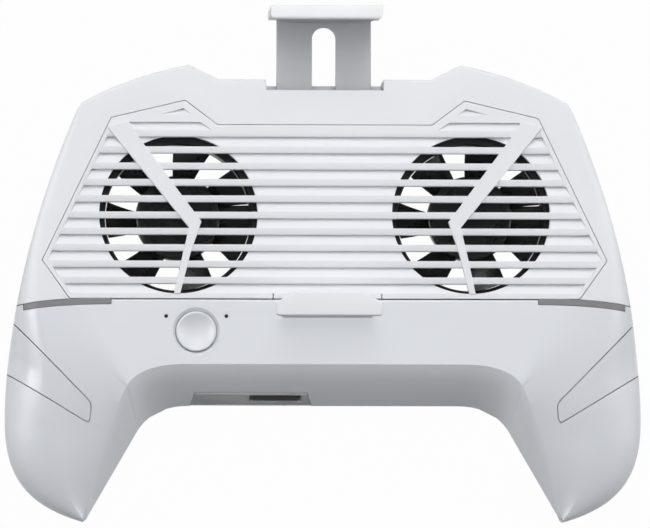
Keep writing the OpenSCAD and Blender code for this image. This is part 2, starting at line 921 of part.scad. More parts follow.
module clamp_plate() {
    lip_y = jaw_top_y - lip_reach;
    wall_y = jaw_top_y - jaw_wall;
    color(white)
    difference() {
        union() {
            block(
                [-plate_w / 2, plate_bottom_y, plate_z],
                [plate_w / 2, jaw_top_y - jaw_wall / 2, plate_z + plate_t]);
            along_x(jaw_w)
                offset(r = jaw_r, $fn = 24)
                    offset(delta = -jaw_r)
                        polygon([
                            [jaw_top_y, plate_z], [jaw_top_y, jaw_z], [lip_y, jaw_z], [lip_y, jaw_z - lip_t],
                            [wall_y, jaw_z - lip_t], [wall_y, plate_z]]);
        }
        translate([0, 0, plate_z - cut])
            linear_extrude(plate_t + 2 * cut)
                slot(plate_slot_low, plate_slot_top, plate_slot_w);
        for (s = sides)
            translate([0, 0, jaw_z - lip_t - cut / 2])
                linear_extrude(lip_t + cut)
                    polygon([
                        [s * (jaw_w / 2 - 1.6), lip_y - cut / 2], [s * (jaw_w / 2 - 1.6), lip_y],
                        [s * jaw_w / 2, lip_y + 1.1], [s * (jaw_w / 2 + cut), lip_y + 1.1],
                        [s * (jaw_w / 2 + cut), lip_y - cut / 2]]);
    }
}

module slot(low, high, w) {
    translate([-w / 2, low + w / 2])
        square([w, high - low - w]);
    for (y = [low + w / 2, high - w / 2])
        translate([0, y])
            circle(w / 2);
}

module upper_jaw_pad() {
    color(pad_grey)
        block(
            [-jaw_w / 2 + 2, jaw_top_y - jaw_wall - pad_t, front_z + 2],
            [jaw_w / 2 - 2, jaw_top_y - jaw_wall, jaw_z - lip_t]);
}

module lower_jaw() {
    color(white)
    translate([low_jaw_x, 0, 0]) {
        translate([0, 0, jaw_z - lip_t])
            hull() {
                linear_extrude(lip_t - low_lip_bevel)
                    low_lip_outline();
                linear_extrude(lip_t)
                    offset(delta = -low_lip_bevel)
                        low_lip_outline();
            }
        translate([0, 0, skin_z - low_flange_t])
            linear_extrude(jaw_z - lip_t / 2 - skin_z + low_flange_t)
                translate([-low_neck_half, low_wall_y])
                    square([2 * low_neck_half, jaw_wall]);
        block(
            [-low_jaw_w / 2 - 2.5, low_wall_y - 4, skin_z - low_flange_t],
            [low_jaw_w / 2 + 2.5, low_wall_y + 1.8, skin_z]);
    }
}

module low_lip_outline() {
    corner_r = 2.4;
    tip_half = low_jaw_w / 2 - 5;
    hull() {
        polygon([
            [-tip_half, -low_lip_y], [tip_half, -low_lip_y], [low_jaw_w / 2, -low_lip_y - 2.8],
            [-low_jaw_w / 2, -low_lip_y - 2.8]]);
        for (s = sides)
            translate([s * (low_jaw_w / 2 - corner_r), -low_jaw_y + corner_r])
                circle(corner_r, $fn = 32);
    }
}

module lower_jaw_pad() {
    color(pad_grey)
    translate([low_jaw_x, 0, 0])
        block(
            [-low_neck_half, low_wall_y + jaw_wall, front_z + 1],
            [low_neck_half, low_seat_y, jaw_z - lip_t]);
}

module clamp_guide() {
    color(shell_white)
    difference() {
        union() {
            block(
                [-guide_side_x - guide_side_t, guide_tail_y, guide_floor_z],
                [guide_side_x + guide_side_t, guide_end_y, guide_floor_z + guide_floor_t]);
            for (s = sides) {
                along_side(s, guide_side_x, guide_side_t, guide_floor_z, guide_top_z);
                along_side(s, guide_side_x - guide_lip_w, guide_lip_w + cut, guide_lip_z, guide_lip_z + 1.3);
            }
            block(
                [-guide_side_x - guide_side_t, guide_end_y - guide_end_t, guide_floor_z],
                [guide_side_x + guide_side_t, guide_end_y, guide_top_z]);
        }
        block(
            [-guide_side_x, guide_wall_y, plate_z - slide_gap],
            [guide_side_x, guide_end_y + cut, guide_lip_z]);
        rod_at([0, pin_y], screw_hole_r, guide_floor_z - cut, plate_z);
        for (s = sides)
            rod_at([s * post_x, post_low_y], screw_hole_r, guide_floor_z - cut, plate_z);
        block(
            [leaf_x - leaf_w / 2 - 0.3, leaf_y - leaf_half - 0.6, guide_floor_z + 0.5],
            [leaf_x + leaf_w / 2 + 0.3, leaf_y + leaf_half + 0.6, plate_z]);
    }
}

module along_side(s, x, w, low, high) {
    scale_x = s < 0 ? -x - w : x;
    block([scale_x, guide_wall_y, low], [scale_x + w, guide_end_y, high]);
}

module rod_at(p, r, low, high) {
    translate([p.x, p.y, 0])
        rod(r, low, high);
}

module clamp_guide_pin() {
    color(steel) {
        rod_at([0, pin_y], pin_r, plate_z - slide_gap, guide_lip_z);
        rod_at([0, pin_y], pin_head_r, guide_lip_z, guide_lip_z + 1.3);
        rod_at([0, pin_y], screw_r, guide_floor_z, plate_z - slide_gap);
    }
}

// Bowed leaf whose ends rest in the guide's pocket and whose crown bears on the plate
module clamp_friction_spring() {
    low = guide_floor_z + 0.5;
    crown = plate_z - 0.05;
    steps = 10;
    rise = crown - leaf_t - low;
    arch = [for (k = [0:steps]) let (u = 2 * k / steps - 1) [leaf_y + u * leaf_half, low + rise * (1 - u * u)]];
    color(steel)
    translate([leaf_x, 0, 0])
        along_x(leaf_w)
            polygon(concat(
                arch,
                [for (k = [steps:-1:0]) arch[k] + [0, leaf_t]]));
}

// Fans

module fan_frame(s) {
    color(fan_black)
    translate([s * fan_x, fan_y, 0])
        difference() {
            union() {
                difference() {
                    translate([0, 0, fan_z])
                        linear_extrude(fan_t)
                            rounded_rect(fan_size, fan_size, 3.5);
                    rotate(strut_start + 180 / strut_count)
                        rod(bore_r, fan_z - cut, fan_top_z + cut);
                }
                rotate(strut_start + 180 / strut_count) {
                    rod(hub_r - 0.6, fan_z, fan_z + fan_plate_t);
                    rod(tube_r, fan_z, tube_top_z);
                }
                for (k = [0:strut_count - 1])
                    rotate(strut_start + k * 360 / strut_count)
                        strut(k == 0 ? lead_strut_w : strut_w);
            }
            rod(tube_bore_r, fan_z + fan_plate_t / 2, tube_top_z + cut);
            at_corners(fan_hole_pitch) {
                rod(screw_hole_r + 0.3, fan_z - cut, fan_top_z + cut);
                rod(screw_head_r + 0.2, fan_top_z - screw_head_t, fan_top_z + cut);
            }
        }
}

module strut(w) {
    block([hub_r - 2, -w / 2, fan_z + strut_lift], [bore_r + 0.6, w / 2, fan_z + strut_t]);
}

module fan_bearing(s) {
    color(brass)
    translate([s * fan_x, fan_y, 0])
        tube(tube_bore_r, shaft_d / 2 + run_gap, fan_z + fan_plate_t / 2, tube_top_z);
}

module fan_stator(s) {
    pole_r = hub_r - cup_t - magnet_t - air_gap;
    color(copper)
    translate([s * fan_x, fan_y, fan_z + fan_plate_t])
        difference() {
            union() {
                cylinder(r = tube_r + 1.4, h = 4.4);
                for (k = [0:3])
                    rotate(k * 90)
                        intersection() {
                            translate([0, 0, 0.6])
                                cylinder(r = pole_r, h = 3.2);
                            block([0, -1.9, 0], [pole_r + cut, 1.9, 4.4]);
                        }
            }
            translate([0, 0, -cut])
                cylinder(r = tube_r, h = 4.4 + 2 * cut);
        }
}

module fan_magnet(s) {
    color(fan_black)
    translate([s * fan_x, fan_y, 0])
        tube(hub_r - cup_t, hub_r - cup_t - magnet_t, cup_low_z + 0.2, cup_high_z - cup_top_t);
}

module fan_shaft(s) {
    color(steel)
    translate([s * fan_x, fan_y, 0])
        rod(shaft_d / 2, fan_z + fan_plate_t / 2 + 0.2, cup_high_z - 0.3);
}

// Ring of points round a blade at one radius: its upper face, then its lower face back again
function blade_ring(r, u) =
    let (
        lead = blade_start - blade_sweep * u,
        rise = blade_high_z - blade_low_z - blade_t,
        path = [
            for (k = [0:blade_steps])
                let (v = k / blade_steps)
                    [lead - blade_span * v, blade_low_z + rise * (1 - v - 0.35 * v * (1 - v))]])
    concat(
        [for (p = path) [r * cos(p.x), r * sin(p.x), p.y + blade_t]],
        [for (k = [blade_steps:-1:0]) [r * cos(path[k].x), r * sin(path[k].x), path[k].y]]);

module fan_impeller(s) {
    blade_tip_r = bore_r - tip_gap;
    color(rotor_black)
    translate([s * fan_x, fan_y, 0])
        difference() {
            union() {
                rod(hub_r, cup_low_z, cup_high_z);
                for (k = [0:blade_count - 1])
                    rotate(k * 360 / blade_count)
                        loft([
                            for (k = [0:blade_rings])
                                let (u = k / blade_rings) blade_ring(mix(hub_r - 0.5, blade_tip_r, u), u)]);
            }
            rod(hub_r - cup_t, cup_low_z - cut, cup_high_z - cup_top_t);
            rod(shaft_d / 2, cup_low_z, cup_high_z - 0.3);
        }
}

module left_fan_frame() {
    fan_frame(-1);
}

module left_fan_stator() {
    fan_stator(-1);
}

module left_fan_bearing() {
    fan_bearing(-1);
}

module left_fan_impeller() {
    fan_impeller(-1);
}

module left_fan_shaft() {
    fan_shaft(-1);
}

module left_fan_magnet() {
    fan_magnet(-1);
}

module right_fan_frame() {
    fan_frame(1);
}

module right_fan_stator() {
    fan_stator(1);
}

module right_fan_bearing() {
    fan_bearing(1);
}

module right_fan_impeller() {
    fan_impeller(1);
}

module right_fan_shaft() {
    fan_shaft(1);
}

module right_fan_magnet() {
    fan_magnet(1);
}

// Button, board and port

module power_button() {
    color(white)
    translate([-button_x, -button_y, 0])
        difference() {
            union() {
                rod(button_d / 2, skin_z - button_flange_t, front_z + 0.3);
                rod(button_flange_r, skin_z - button_flange_t, skin_z);
                rod(stem_r, stem_low_z, skin_z - button_flange_t + 0.2);
            }
            translate([0, 0, front_z + 0.3 + 24.3])
                sphere(r = 25, $fn = 128);
        }
}

module button_switch() {
    color(fan_black)
    translate([-button_x, -button_y, 0]) {
        translate([0, 0, board_top_z])
            linear_extrude(switch_h)
                rounded_rect(switch_size, switch_size, 0.6);
        rod(1.7, board_top_z + switch_h - 0.1, board_top_z + switch_h + plunger_h);
    }
}

module led_light_pipes() {
    color([0.92, 0.94, 0.96])
    for (s = sides)
        translate([-button_x + s * led_spacing / 2, -led_y, 0]) {
            rod(led_d / 2, board_top_z + 0.7, front_z);
            rod(pipe_flange_r, skin_z - 1.2, skin_z);
        }
}

module control_board() {
    color(board_green)
    difference() {
        union() {
            block([board_low.x, board_low.y, board_z], [board_high.x, board_high.y, board_top_z]);
            for (s = sides)
                translate([-button_x + s * led_spacing / 2, -led_y, 0])
                    block([-0.8, -0.5, board_top_z - 0.1], [0.8, 0.5, board_top_z + 0.65]);
            block([-24, -21, board_top_z - 0.1], [-18, -17, board_top_z + 1.2]);
        }
        for (p = board_posts)
            rod_at(p, screw_hole_r, board_z - cut, board_top_z + cut);
    }
}

module usb_port() {
    mouth_y = port_face_low.x + 0.9;
    color(steel)
    translate([-port_x, 0, port_mid_z]) {
        rotate([-90, 0, 0])
            translate([0, 0, mouth_y])
                difference() {
                    linear_extrude(port_depth)
                        rounded_rect(port_shell_w, port_shell_h, 0.5);
                    translate([0, 0, -cut])
                        linear_extrude(port_depth)
                            rounded_rect(port_shell_w - 2 * port_shell_t, port_shell_h - 2 * port_shell_t, 0.3);
                }
        block([-5.5, mouth_y + 1.5, 0.2], [5.5, mouth_y + port_depth - 0.5, 2]);
    }
}

module port_plate() {
    color(white)
    difference() {
        intersection() {
            port_cut(0);
            along_x(2 * body_w)
                polygon([
                    port_face_high, port_face_high + [port_plate_t + cut, 0],
                    port_face_low + [port_plate_t + cut, 0], port_face_low]);
        }
        translate([-port_x, 0, port_mid_z])
            rotate([90, 0, 0])
                linear_extrude(body_w)
                    rounded_rect(port_w, port_h, 0.8);
    }
}

module battery() {
    color(cell_silver)
    translate([0, battery_y, wall + fit_gap])
        linear_extrude(battery_size.z)
            rounded_rect(battery_size.x, battery_size.y, 2.5);
}

// Lead along a row of points, square to its way at each of them
function lead_ring(points, k) =
    let (
        way = unit(points[min(k + 1, len(points) - 1)] - points[max(k - 1, 0)]),
        across = unit(cross(way, [0, 0, 1])),
        up = cross(across, way))
    [for (a = [0:45:315]) points[k] + lead_r * (cos(a) * across - sin(a) * up)];

module lead(points) {
    loft([for (k = [0:len(points) - 1]) lead_ring(points, k)]);
}

module left_fan_lead() {
    color(fan_black)
        lead(left_lead);
}

module right_fan_lead() {
    color(fan_black)
        lead(right_lead);
}

module battery_lead() {
    color([0.7, 0.15, 0.12])
        lead(battery_path);
}

// Fasteners

module screw(head_r, head_t, low, high) {
    rod(head_r, high - head_t, high);
    rod(screw_r, low, high - head_t);
}

module fan_screws() {
    color(steel)
    at_fans()
        at_corners(fan_hole_pitch)
            screw(screw_head_r, screw_head_t, fan_z - fan_screw_bite, fan_top_z);
}

module case_screws() {
    color(steel)
    at_case_posts(case_posts)
        difference() {
            union() {
                rod(case_head_r, case_head_low_z, case_head_low_z + case_head_t);
                rod(screw_r, case_head_low_z + case_head_t, case_screw_top_z);
            }
            for (a = [0, 90])
                rotate(a)
                    block([-1.5, -0.3, case_head_low_z - cut], [1.5, 0.3, case_head_low_z + 0.9]);
        }
}

module board_screws() {
    color(steel)
    for (p = board_posts)
        translate([p.x, p.y, 0])
            screw(screw_head_r, screw_head_t, board_z - board_screw_bite, board_top_z + screw_head_t);
}

module guide_screws() {
    color(steel)
    for (s = sides)
        translate([s * post_x, post_low_y, 0])
            screw(
                screw_head_r, screw_head_t,
                guide_floor_z - guide_screw_bite, plate_z - slide_gap + screw_head_t);
}

front_bezel();
louvre_panel();
lower_front_shell();
rear_shell();
left_trim();
right_trim();
left_grip_inlay();
right_grip_inlay();
clamp_plate();
upper_jaw_pad();
lower_jaw();
lower_jaw_pad();
clamp_guide();
clamp_guide_pin();
clamp_friction_spring();
left_fan_frame();
left_fan_stator();
left_fan_bearing();
left_fan_impeller();
left_fan_shaft();
left_fan_magnet();
right_fan_frame();
right_fan_stator();
right_fan_bearing();
right_fan_impeller();
right_fan_shaft();
right_fan_magnet();
power_button();
button_switch();
led_light_pipes();
control_board();
usb_port();
port_plate();
battery();
left_fan_lead();
right_fan_lead();
battery_lead();
fan_screws();
case_screws();
board_screws();
guide_screws();
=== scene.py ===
"""Looks of a grip-style phone cooler: two fans behind a louvred panel, with a pull-out phone clamp.

Sizes are in millimetres in the CAD frame: X across the grips, Y up to the clamp, Z out of the front face.
"""
import math

import bmesh
import bpy
from mathutils import Matrix, Vector


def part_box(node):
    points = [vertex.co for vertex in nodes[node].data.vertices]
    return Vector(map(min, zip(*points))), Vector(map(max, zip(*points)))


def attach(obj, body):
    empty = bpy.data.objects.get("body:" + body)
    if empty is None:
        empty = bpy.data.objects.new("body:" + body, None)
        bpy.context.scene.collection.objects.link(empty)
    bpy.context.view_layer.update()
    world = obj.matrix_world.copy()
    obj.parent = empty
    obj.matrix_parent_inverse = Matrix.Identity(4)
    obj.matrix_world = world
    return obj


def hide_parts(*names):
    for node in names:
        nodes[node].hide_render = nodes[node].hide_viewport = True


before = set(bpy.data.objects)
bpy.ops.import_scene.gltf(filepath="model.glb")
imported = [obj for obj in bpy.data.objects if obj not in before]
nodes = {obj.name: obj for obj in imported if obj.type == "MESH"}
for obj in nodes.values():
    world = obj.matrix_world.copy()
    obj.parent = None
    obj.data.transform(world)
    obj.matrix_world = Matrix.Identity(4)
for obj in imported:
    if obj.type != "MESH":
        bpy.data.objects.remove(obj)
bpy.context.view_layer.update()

MM = 0.001
SIDES = (-1, 1)
SIDE_NAMES = ((-1, "left"), (1, "right"))

# Case, as in the solids
HALF_W = 87.9
TOP_Y = 50.5
SHOULDER_RISE = 4
ARCH_Y = -39
CREASE_Y = -28
TIP_Y = -71.1
FRONT_Z = 24
TIP_FACE_Z = 13
PARTING_Z = 11
WALL = 2.2
SKIN_Z = FRONT_Z - WALL
EDGE_R = 0.9
GRIP_R = 15
SIDE_ROUND = 4.5
SIDE_DROP = 1.7
SEAM_Y = -10.07
SEAM_BEVEL = 0.65
SEAM_GAP = 0.12
TOP_END_X = 29.3
CORNER_X = 68.2
HOLLOW_END = 6.65
TIP_STATION = 7
STATION_STEPS = (1, 1, 10, 2, 24, 28, 40)

# Changes along the outline: the station where each starts, and over how many stations it runs
SIDE_EDGE_RUN = (3.8, 0.6)
GRIP_ROUND_RUN = (4.5, 1.1)
GRIP_DROP_RUN = (4.5, 1.3)
CREASE_SINK_RUN = (4.8, 1.2)
CREASE_SINK = 1.4
FACE_FALL_START = 4.7
FACE_FALL_POWER = 1.8
SIDE_SPLIT = 0.6

# Section of the front half
CREASE_INSET_SHARE = 0.4
ROUND_SHARE = 0.6
LEAST_WALL = 0.5
LEAST_BEVEL = 0.4
BEVEL_END_RISE = 0.8
SWELL_ALONG = 0.62
SWELL_DOWN = 0.3

# Louvre panel and fans
PANEL_TOP_Y = 37.9
PANEL_Z = 20.5
PANEL_RIM = 1.25
PANEL_EDGE = 0.2
FIRST_SLAT_Y = 34.6
SLAT_COUNT = 10
SLAT_PITCH = 4.494
SLAT_H = 1.8
SLAT_BEVEL_H = 0.9
SLAT_BEVEL_D = 0.25
GROOVE_D = 1.5
RECESS_D = 1.1
BAR_T = 2.4
BAR_RISE = 0.35
TAB_HALF = 14.95
TAB_SLIT_W = 0.25
TAB_SLIT_H = 1.5
VENT_Y = 13.2
VENT_R = 21.8
FAN_X = 40.3
FAN_Y = 12.6
FAN_LOW_Z = 8.6
FAN_TOP_Z = 18.6
FAN_SIZE = 46
FAN_HOLE_PITCH = 38
BORE_R = 20.1
HUB_R = 11.7
HUB_LOW = 2
HUB_BELOW_TOP = 1.3
HUB_TOP_T = 1.4
HUB_WALL = 1.25
HUB_EDGE_R = 0.8
HUB_RIM_W = 2.6
HUB_STEP = 0.25
HUB_SLOPE = 0.2
HUB_BOSS_R = 1.6
HUB_BOSS_DROP = 0.1
BLADE_COUNT = 7
BLADE_SPAN = 30
BLADE_START = 46
BLADE_SWEEP = 4
BLADE_T = 0.9
BLADE_LOW = 2.5
BLADE_BELOW_TOP = 1.1
BLADE_ROOT = 0.5
BLADE_SAG = 0.35
BLADE_EDGE_SHARE = 0.35
BLADE_ARC = (0.12, 0.88)
TIP_GAP = 0.2
FAN_CORNER_R = 3.5
FAN_EDGE_R = 0.3
MOUTH_FLARE = 0.4
SCREW_HOLE_R = 1.5
SCREW_HEAD_R = 2.3
SCREW_HEAD_D = 1.4
STRUT_TURNS = ((2, 6.6), (115, 2.2), (235, 2.2))
STRUT_IN_R = 9
STRUT_BITE = 0.8
STRUT_LIFT = 0.2
STRUT_T = 1.5
MOTOR_PLATE_R = 10.4
MOTOR_PLATE_T = 1.2
MOTOR_WELL_TOP = 3
STAND_R = 3.2
STAND_BORE_R = 2.5
STAND_FLOOR = 0.6
STAND_BELOW_TOP = 3

# Clamp and lower jaw
PLATE_W = 26.1
PLATE_Z = 13.85
PLATE_T = 2
PLATE_LOW_Y = 22
SLOT_W = 6.54
SLOT_TOP_Y = 65.5
SLOT_LOW_Y = 27.6
NOTCH_HALF = 16.2
NOTCH_Y = 47.5
NOTCH_END_Y = 60
JAW_W = 30.8
JAW_TOP_Y = 70
JAW_WALL = 2.5
LIP_REACH = 3.9
JAW_Z = 37
LIP_T = 2.5
LIP_CORNER = ((-1.6, -1), (-1.6, 0), (-0.5, 0.45), (0, 1.3), (1, 1.3), (1, -1))
LIP_CORNER_PAST = 0.5
SHEET_CORNER_R = 0.8
SHEET_EDGE_R = 0.2
HOOK_R = 0.9
HOOK_END = ((0, 0.35), (0.12, 0.1), (0.4, 0))
LOW_JAW_X = 0.7
LOW_JAW_HALF = 14.45
LOW_NECK_HALF = 12.45
LOW_NECK_R = 0.5
LOW_LIP_Y = -8.7
LOW_JAW_Y = -15.3
LOW_WALL_Y = -15.1
LOW_FLANGE_T = 1.8
LOW_FLANGE_PAST = 2.5
LOW_FLANGE_DOWN = 4
LOW_FLANGE_UP = 1.8
LOW_LIP_R = 0.9
LOW_LIP_EDGE_R = 0.55
LOW_LIP_SLOPE = (5, 2.8)
JAW_PLAY = 0.1
PAD_RIBS = 5
PAD_RIB_D = 0.12
PAD_END_PARTS = 6
PAD_END_T = 0.55
PAD_END_H = 0.8

# Button, lights and port
BUTTON = Vector((-35.4, -19))
BUTTON_R = 5.55
BUTTON_GAP = 0.2
BUTTON_CONE = 0.8
BUTTON_DISH = 1.1
BUTTON_RISE = 0.22
BUTTON_RIM = ((0, 0.35), (0.06, 0.15), (0.2, 0.03), (0.4, 0))
BUTTON_RIM_W = 0.55
BUTTON_FLANGE_W = 1
BUTTON_FLANGE_T = 1.2
BUTTON_FLANGE_R = 0.2
BUTTON_STEM_R = 2
BUTTON_STEM_EDGE = 0.3
LED_SPACING = 16.55
LED_Y = -14.8
LED_HOLE_R = 0.55
LED_HOLE_Z = 20
PORT_HIGH = Vector((ARCH_Y + 3, 16.4))
PORT_LOW = Vector((ARCH_Y + 0.7, 7.4))
PORT_PLATE_T = 1.8
PORT_GAP = 0.4
PORT_CUT_OUT = 8
PORT_CUT_RISE = 4
PORT_TOP_HALF = 14.45
PORT_LOW_HALF = 17.9
PORT_MID_X = -20.1

# Seam strips and grip inlays
TRIM_H = 1.65
TRIM_IN = Vector((HALF_W - 29.1, SEAM_Y - 0.6))
TRIM_PULL = Vector((HALF_W - 12.5, SEAM_Y - 0.6))
TRIM_OUT = Vector((HALF_W - 1.4, SEAM_Y - 3))
TRIM_SHARE = 0.84
TRIM_STATIONS = (2, 5.75)
INLAY_T = 1.2
INLAY_R = 1.5
INLAY_GAP = 0.26
INLAY_PLAY = 0.05
INLAY_STATIONS = (5, 6.2)
INLAY = (
    Vector((HALF_W + 8, -6)),
    Vector((HALF_W - 24, -38.7)),
    Vector((HALF_W - 23.3, -44.5)),
    Vector((HALF_W + 8, -25.5)),
)

# Treatment of the solids that stay
WELD_GAP = 0.002
FLAT_ANGLE = 1
EDGE_ANGLE = 40

# Floor and studio
FLOOR_HALF = 4000
FLOOR_LOW_Z = -2
FLOOR_TOP_Z = -0.05
FLOOR_COLOUR = (0.16, 0.16, 0.165, 1)
FLOOR_ROUGHNESS = 0.8
FLOOR_GLOW = 0.985
STUDIO_COLOUR = (0.97, 0.98, 1, 1)
STUDIO_SPREAD = 0.8
STUDIO_LOW = 0.02
STUDIO_HIGH = 0.12

# How finely curves are drawn
ROUND_STEPS = 10
FACE_STEPS = 6
BEVEL_STEPS = 10
CURVE_STEPS = 8
TURN_STEPS = 96
VENT_STEPS = 160
BORE_STEPS = 144
HOLE_STEPS = 32
LIGHT_STEPS = 24
SLOT_STEPS = 24
PAD_STEPS = 40
PAD_ARC_STEPS = 8
DISH_STEPS = 12
BLADE_STEPS_OUT = 10
BLADE_STEPS_ACROSS = 14
STATION_NUDGE = 0.01
SMOOTH_ANGLE = 32

# Limits of rounded and shifted corners
FILLET_SHARE = 0.45
LEAST_MITRE = 0.3

# How far cutters run, past a face or past the whole part, and how near counts as the same
PAST = 1
OVER_Z = FRONT_Z + PAST
FAR = 200
REGION_LOW = -1
REGION_HIGH = 60
CLOSE = 1e-6


# Curves and outlines


def mix(a, b, u):
    return a + (b - a) * u


def bend2(a, b, c, u):
    return mix(mix(a, b, u), mix(b, c, u), u)


def bend3(a, b, c, d, u):
    return mix(bend2(a, b, c, u), bend2(b, c, d, u), u)


def limit(u):
    return min(1, max(0, u))


def ease(u):
    v = limit(u)
    return v * v * (3 - 2 * v)


def flat(x, y):
    return Vector((x, y))


def risen(t, run):
    """Share of a change along the outline that is done at a station."""
    start, length = run
    return ease((t - start) / length)


def outer_at(t):
    """Point of the right half's outer outline, from the middle of the top edge round to the grip's tip."""
    top_end = flat(TOP_END_X, TOP_Y)
    peak = flat(37.4, TOP_Y + SHOULDER_RISE)
    corner = flat(CORNER_X, TOP_Y - 8.6)
    shoulder_end = flat(CORNER_X - 1.2, TOP_Y - 6.6)
    widest = flat(HALF_W, -43)
    side = (corner, flat(HALF_W - 7.5, 14.5), flat(HALF_W, -19), widest)
    toe = (widest, flat(HALF_W, TIP_Y + 13), flat(HALF_W - 5.5, TIP_Y + 4.6), flat(HALF_W - 21.5, TIP_Y))
    if t < 1:
        return mix(flat(0, TOP_Y), top_end, t)
    if t < 2:
        return mix(top_end, peak, t - 1)
    if t < 3:
        return bend2(peak, flat(CORNER_X - 14.8, TOP_Y + 1), shoulder_end, t - 2)
    if t < 4:
        return mix(shoulder_end, corner, t - 3)
    if t < 5:
        return bend3(*side, SIDE_SPLIT * (t - 4))
    if t < 6:
        return bend3(*side, mix(SIDE_SPLIT, 1, t - 5))
    return bend3(*toe, t - 6)


def crease_at(t):
    """Point of the crease between the front face and the lower bevel."""
    start = flat(38, CREASE_Y)
    turn = flat(HALF_W - 33.4, CREASE_Y - 6)
    end = flat(HALF_W - 21.9, TIP_Y + 1.3)
    if t < 1:
        return flat(TOP_END_X * t, CREASE_Y)
    if t < 2:
        return mix(flat(TOP_END_X, CREASE_Y), start, t - 1)
    if t < 5:
        return bend3(start, start + flat(8, 0), turn + flat(-3, 4.5), turn, (t - 2) / 3)
    return bend3(turn, turn + flat(4, -8), end + flat(-2.6, 14.8), end, (t - 5) / 2)


def inner_at(t):
    """Point of the inner outline, along the lower edge and down the inside of the grip."""
    start = flat(37, ARCH_Y)
    turn = flat(HALF_W - 36.6, ARCH_Y - 7)
    if t < 1:
        return flat(TOP_END_X * t, ARCH_Y)
    if t < 2:
        return mix(flat(TOP_END_X, ARCH_Y), start, t - 1)
    if t < 5:
        return bend3(start, start + flat(7, 0), turn + flat(-2.8, 4.5), turn, (t - 2) / 3)
    return mix(turn, flat(HALF_W - 22.5, TIP_Y + 0.8), (t - 5) / 2)


def side_of(curve, t):
    """Unit vector to the right of a curve's way at a station."""
    way = curve(min(TIP_STATION, t + STATION_NUDGE)) - curve(max(0, t - STATION_NUDGE))
    return flat(way.y, -way.x).normalized()


def front_section(t, inset, low_z):
    """Ring round the front half at a station, over the front edge, the face, the crease and the bevel."""
    outer = outer_at(t) + inset * side_of(outer_at, t)
    inner = inner_at(t) - inset * side_of(inner_at, t)
    crease = crease_at(t) + inset * CREASE_INSET_SHARE * (outer_at(t) - crease_at(t)).normalized()
    down_grip = limit((t - FACE_FALL_START) / (TIP_STATION - FACE_FALL_START))
    top = mix(FRONT_Z, TIP_FACE_Z, down_grip ** FACE_FALL_POWER) - inset
    inward = (crease - outer).normalized()
    side_edge = risen(t, SIDE_EDGE_RUN)
    across = mix(mix(EDGE_R, SIDE_ROUND, side_edge), GRIP_R, risen(t, GRIP_ROUND_RUN))
    across = min(across, ROUND_SHARE * (crease - outer).length)
    down = mix(mix(EDGE_R, SIDE_DROP, side_edge), FRONT_Z - PARTING_Z, risen(t, GRIP_DROP_RUN))
    down = min(down, top - max(low_z, PARTING_Z) - LEAST_WALL)
    crease_z = top - CREASE_SINK * risen(t, CREASE_SINK_RUN)
    end_z = min(PARTING_Z + BEVEL_END_RISE, crease_z - LEAST_BEVEL)
    swell = mix(crease, inner, SWELL_ALONG)
    swell_z = mix(crease_z, end_z, SWELL_DOWN)
    ring = [(*outer, low_z)]
    for k in range(ROUND_STEPS + 1):
        turn = math.radians(90 * k / ROUND_STEPS)
        point = outer + inward * across * (1 - math.cos(turn))
        ring.append((*point, top - down * (1 - math.sin(turn))))
    shelf = outer + inward * across
    for k in range(1, FACE_STEPS):
        u = k / FACE_STEPS
        ring.append((*mix(shelf, crease, u), mix(top, crease_z, u)))
    for k in range(BEVEL_STEPS + 1):
        u = k / BEVEL_STEPS
        ring.append((*bend2(crease, swell, inner, u), bend2(crease_z, swell_z, end_z, u)))
    ring.append((*inner, low_z))
    return ring


def stations(first, last):
    """Stations between two others, closer together where the case curves."""
    found = [k + j / count for k, count in enumerate(STATION_STEPS) for j in range(count)] + [TIP_STATION]
    return [t for t in found if first - CLOSE <= t <= last + CLOSE]


def trim_line(u):
    return bend2(TRIM_IN, TRIM_PULL, TRIM_OUT, u)


def trim_edge(offset_y, last=1):
    return [trim_line(last * k / CURVE_STEPS) + flat(0, offset_y) for k in range(CURVE_STEPS + 1)]


def both_sides(points):
    """Outline of the right half and its mirror image, for a piece with the same left and right halves."""
    return points + [flat(-p.x, p.y) for p in reversed(points) if p.x > CLOSE]


def rectangle(low_x, low_y, high_x, high_y):
    return [flat(low_x, low_y), flat(high_x, low_y), flat(high_x, high_y), flat(low_x, high_y)]


def turned_left(points):
    """The outline run anticlockwise."""
    area = sum(a.x * b.y - b.x * a.y for a, b in zip(points, points[1:] + points[:1]))
    return points if area > 0 else points[::-1]


def shifted(points, inset):
    """Outline with every side moved inwards."""
    points = turned_left(points)
    result = []
    for before, here, after in zip(points[-1:] + points[:-1], points, points[1:] + points[:1]):
        way_in = (here - before).normalized()
        way_out = (after - here).normalized()
        normal_in = flat(-way_in.y, way_in.x)
        normal_out = flat(-way_out.y, way_out.x)
        corner = (normal_in + normal_out).normalized()
        result.append(here + corner * inset / max(LEAST_MITRE, corner.dot(normal_in)))
    return result


def filleted(points, radius, steps=6):
    """Outline with its corners rounded."""
    result = []
    for before, here, after in zip(points[-1:] + points[:-1], points, points[1:] + points[:1]):
        reach = min(radius, FILLET_SHARE * (here - before).length, FILLET_SHARE * (after - here).length)
        start = here + (before - here).normalized() * reach
        end = here + (after - here).normalized() * reach
        result += [bend2(start, here, end, k / steps) for k in range(steps + 1)]
    return result


# Meshes


def mesh_object(name, points, faces):
    """Object from points in millimetres, with its faces turned outwards."""
    mesh = bpy.data.meshes.new(name)
    mesh.from_pydata([Vector(p) * MM for p in points], [], faces)
    shape = bmesh.new()
    shape.from_mesh(mesh)
    bmesh.ops.recalc_face_normals(shape, faces=shape.faces)
    shape.to_mesh(mesh)
    shape.free()
    made = bpy.data.objects.new(name, mesh)
    bpy.context.scene.collection.objects.link(made)
    return made


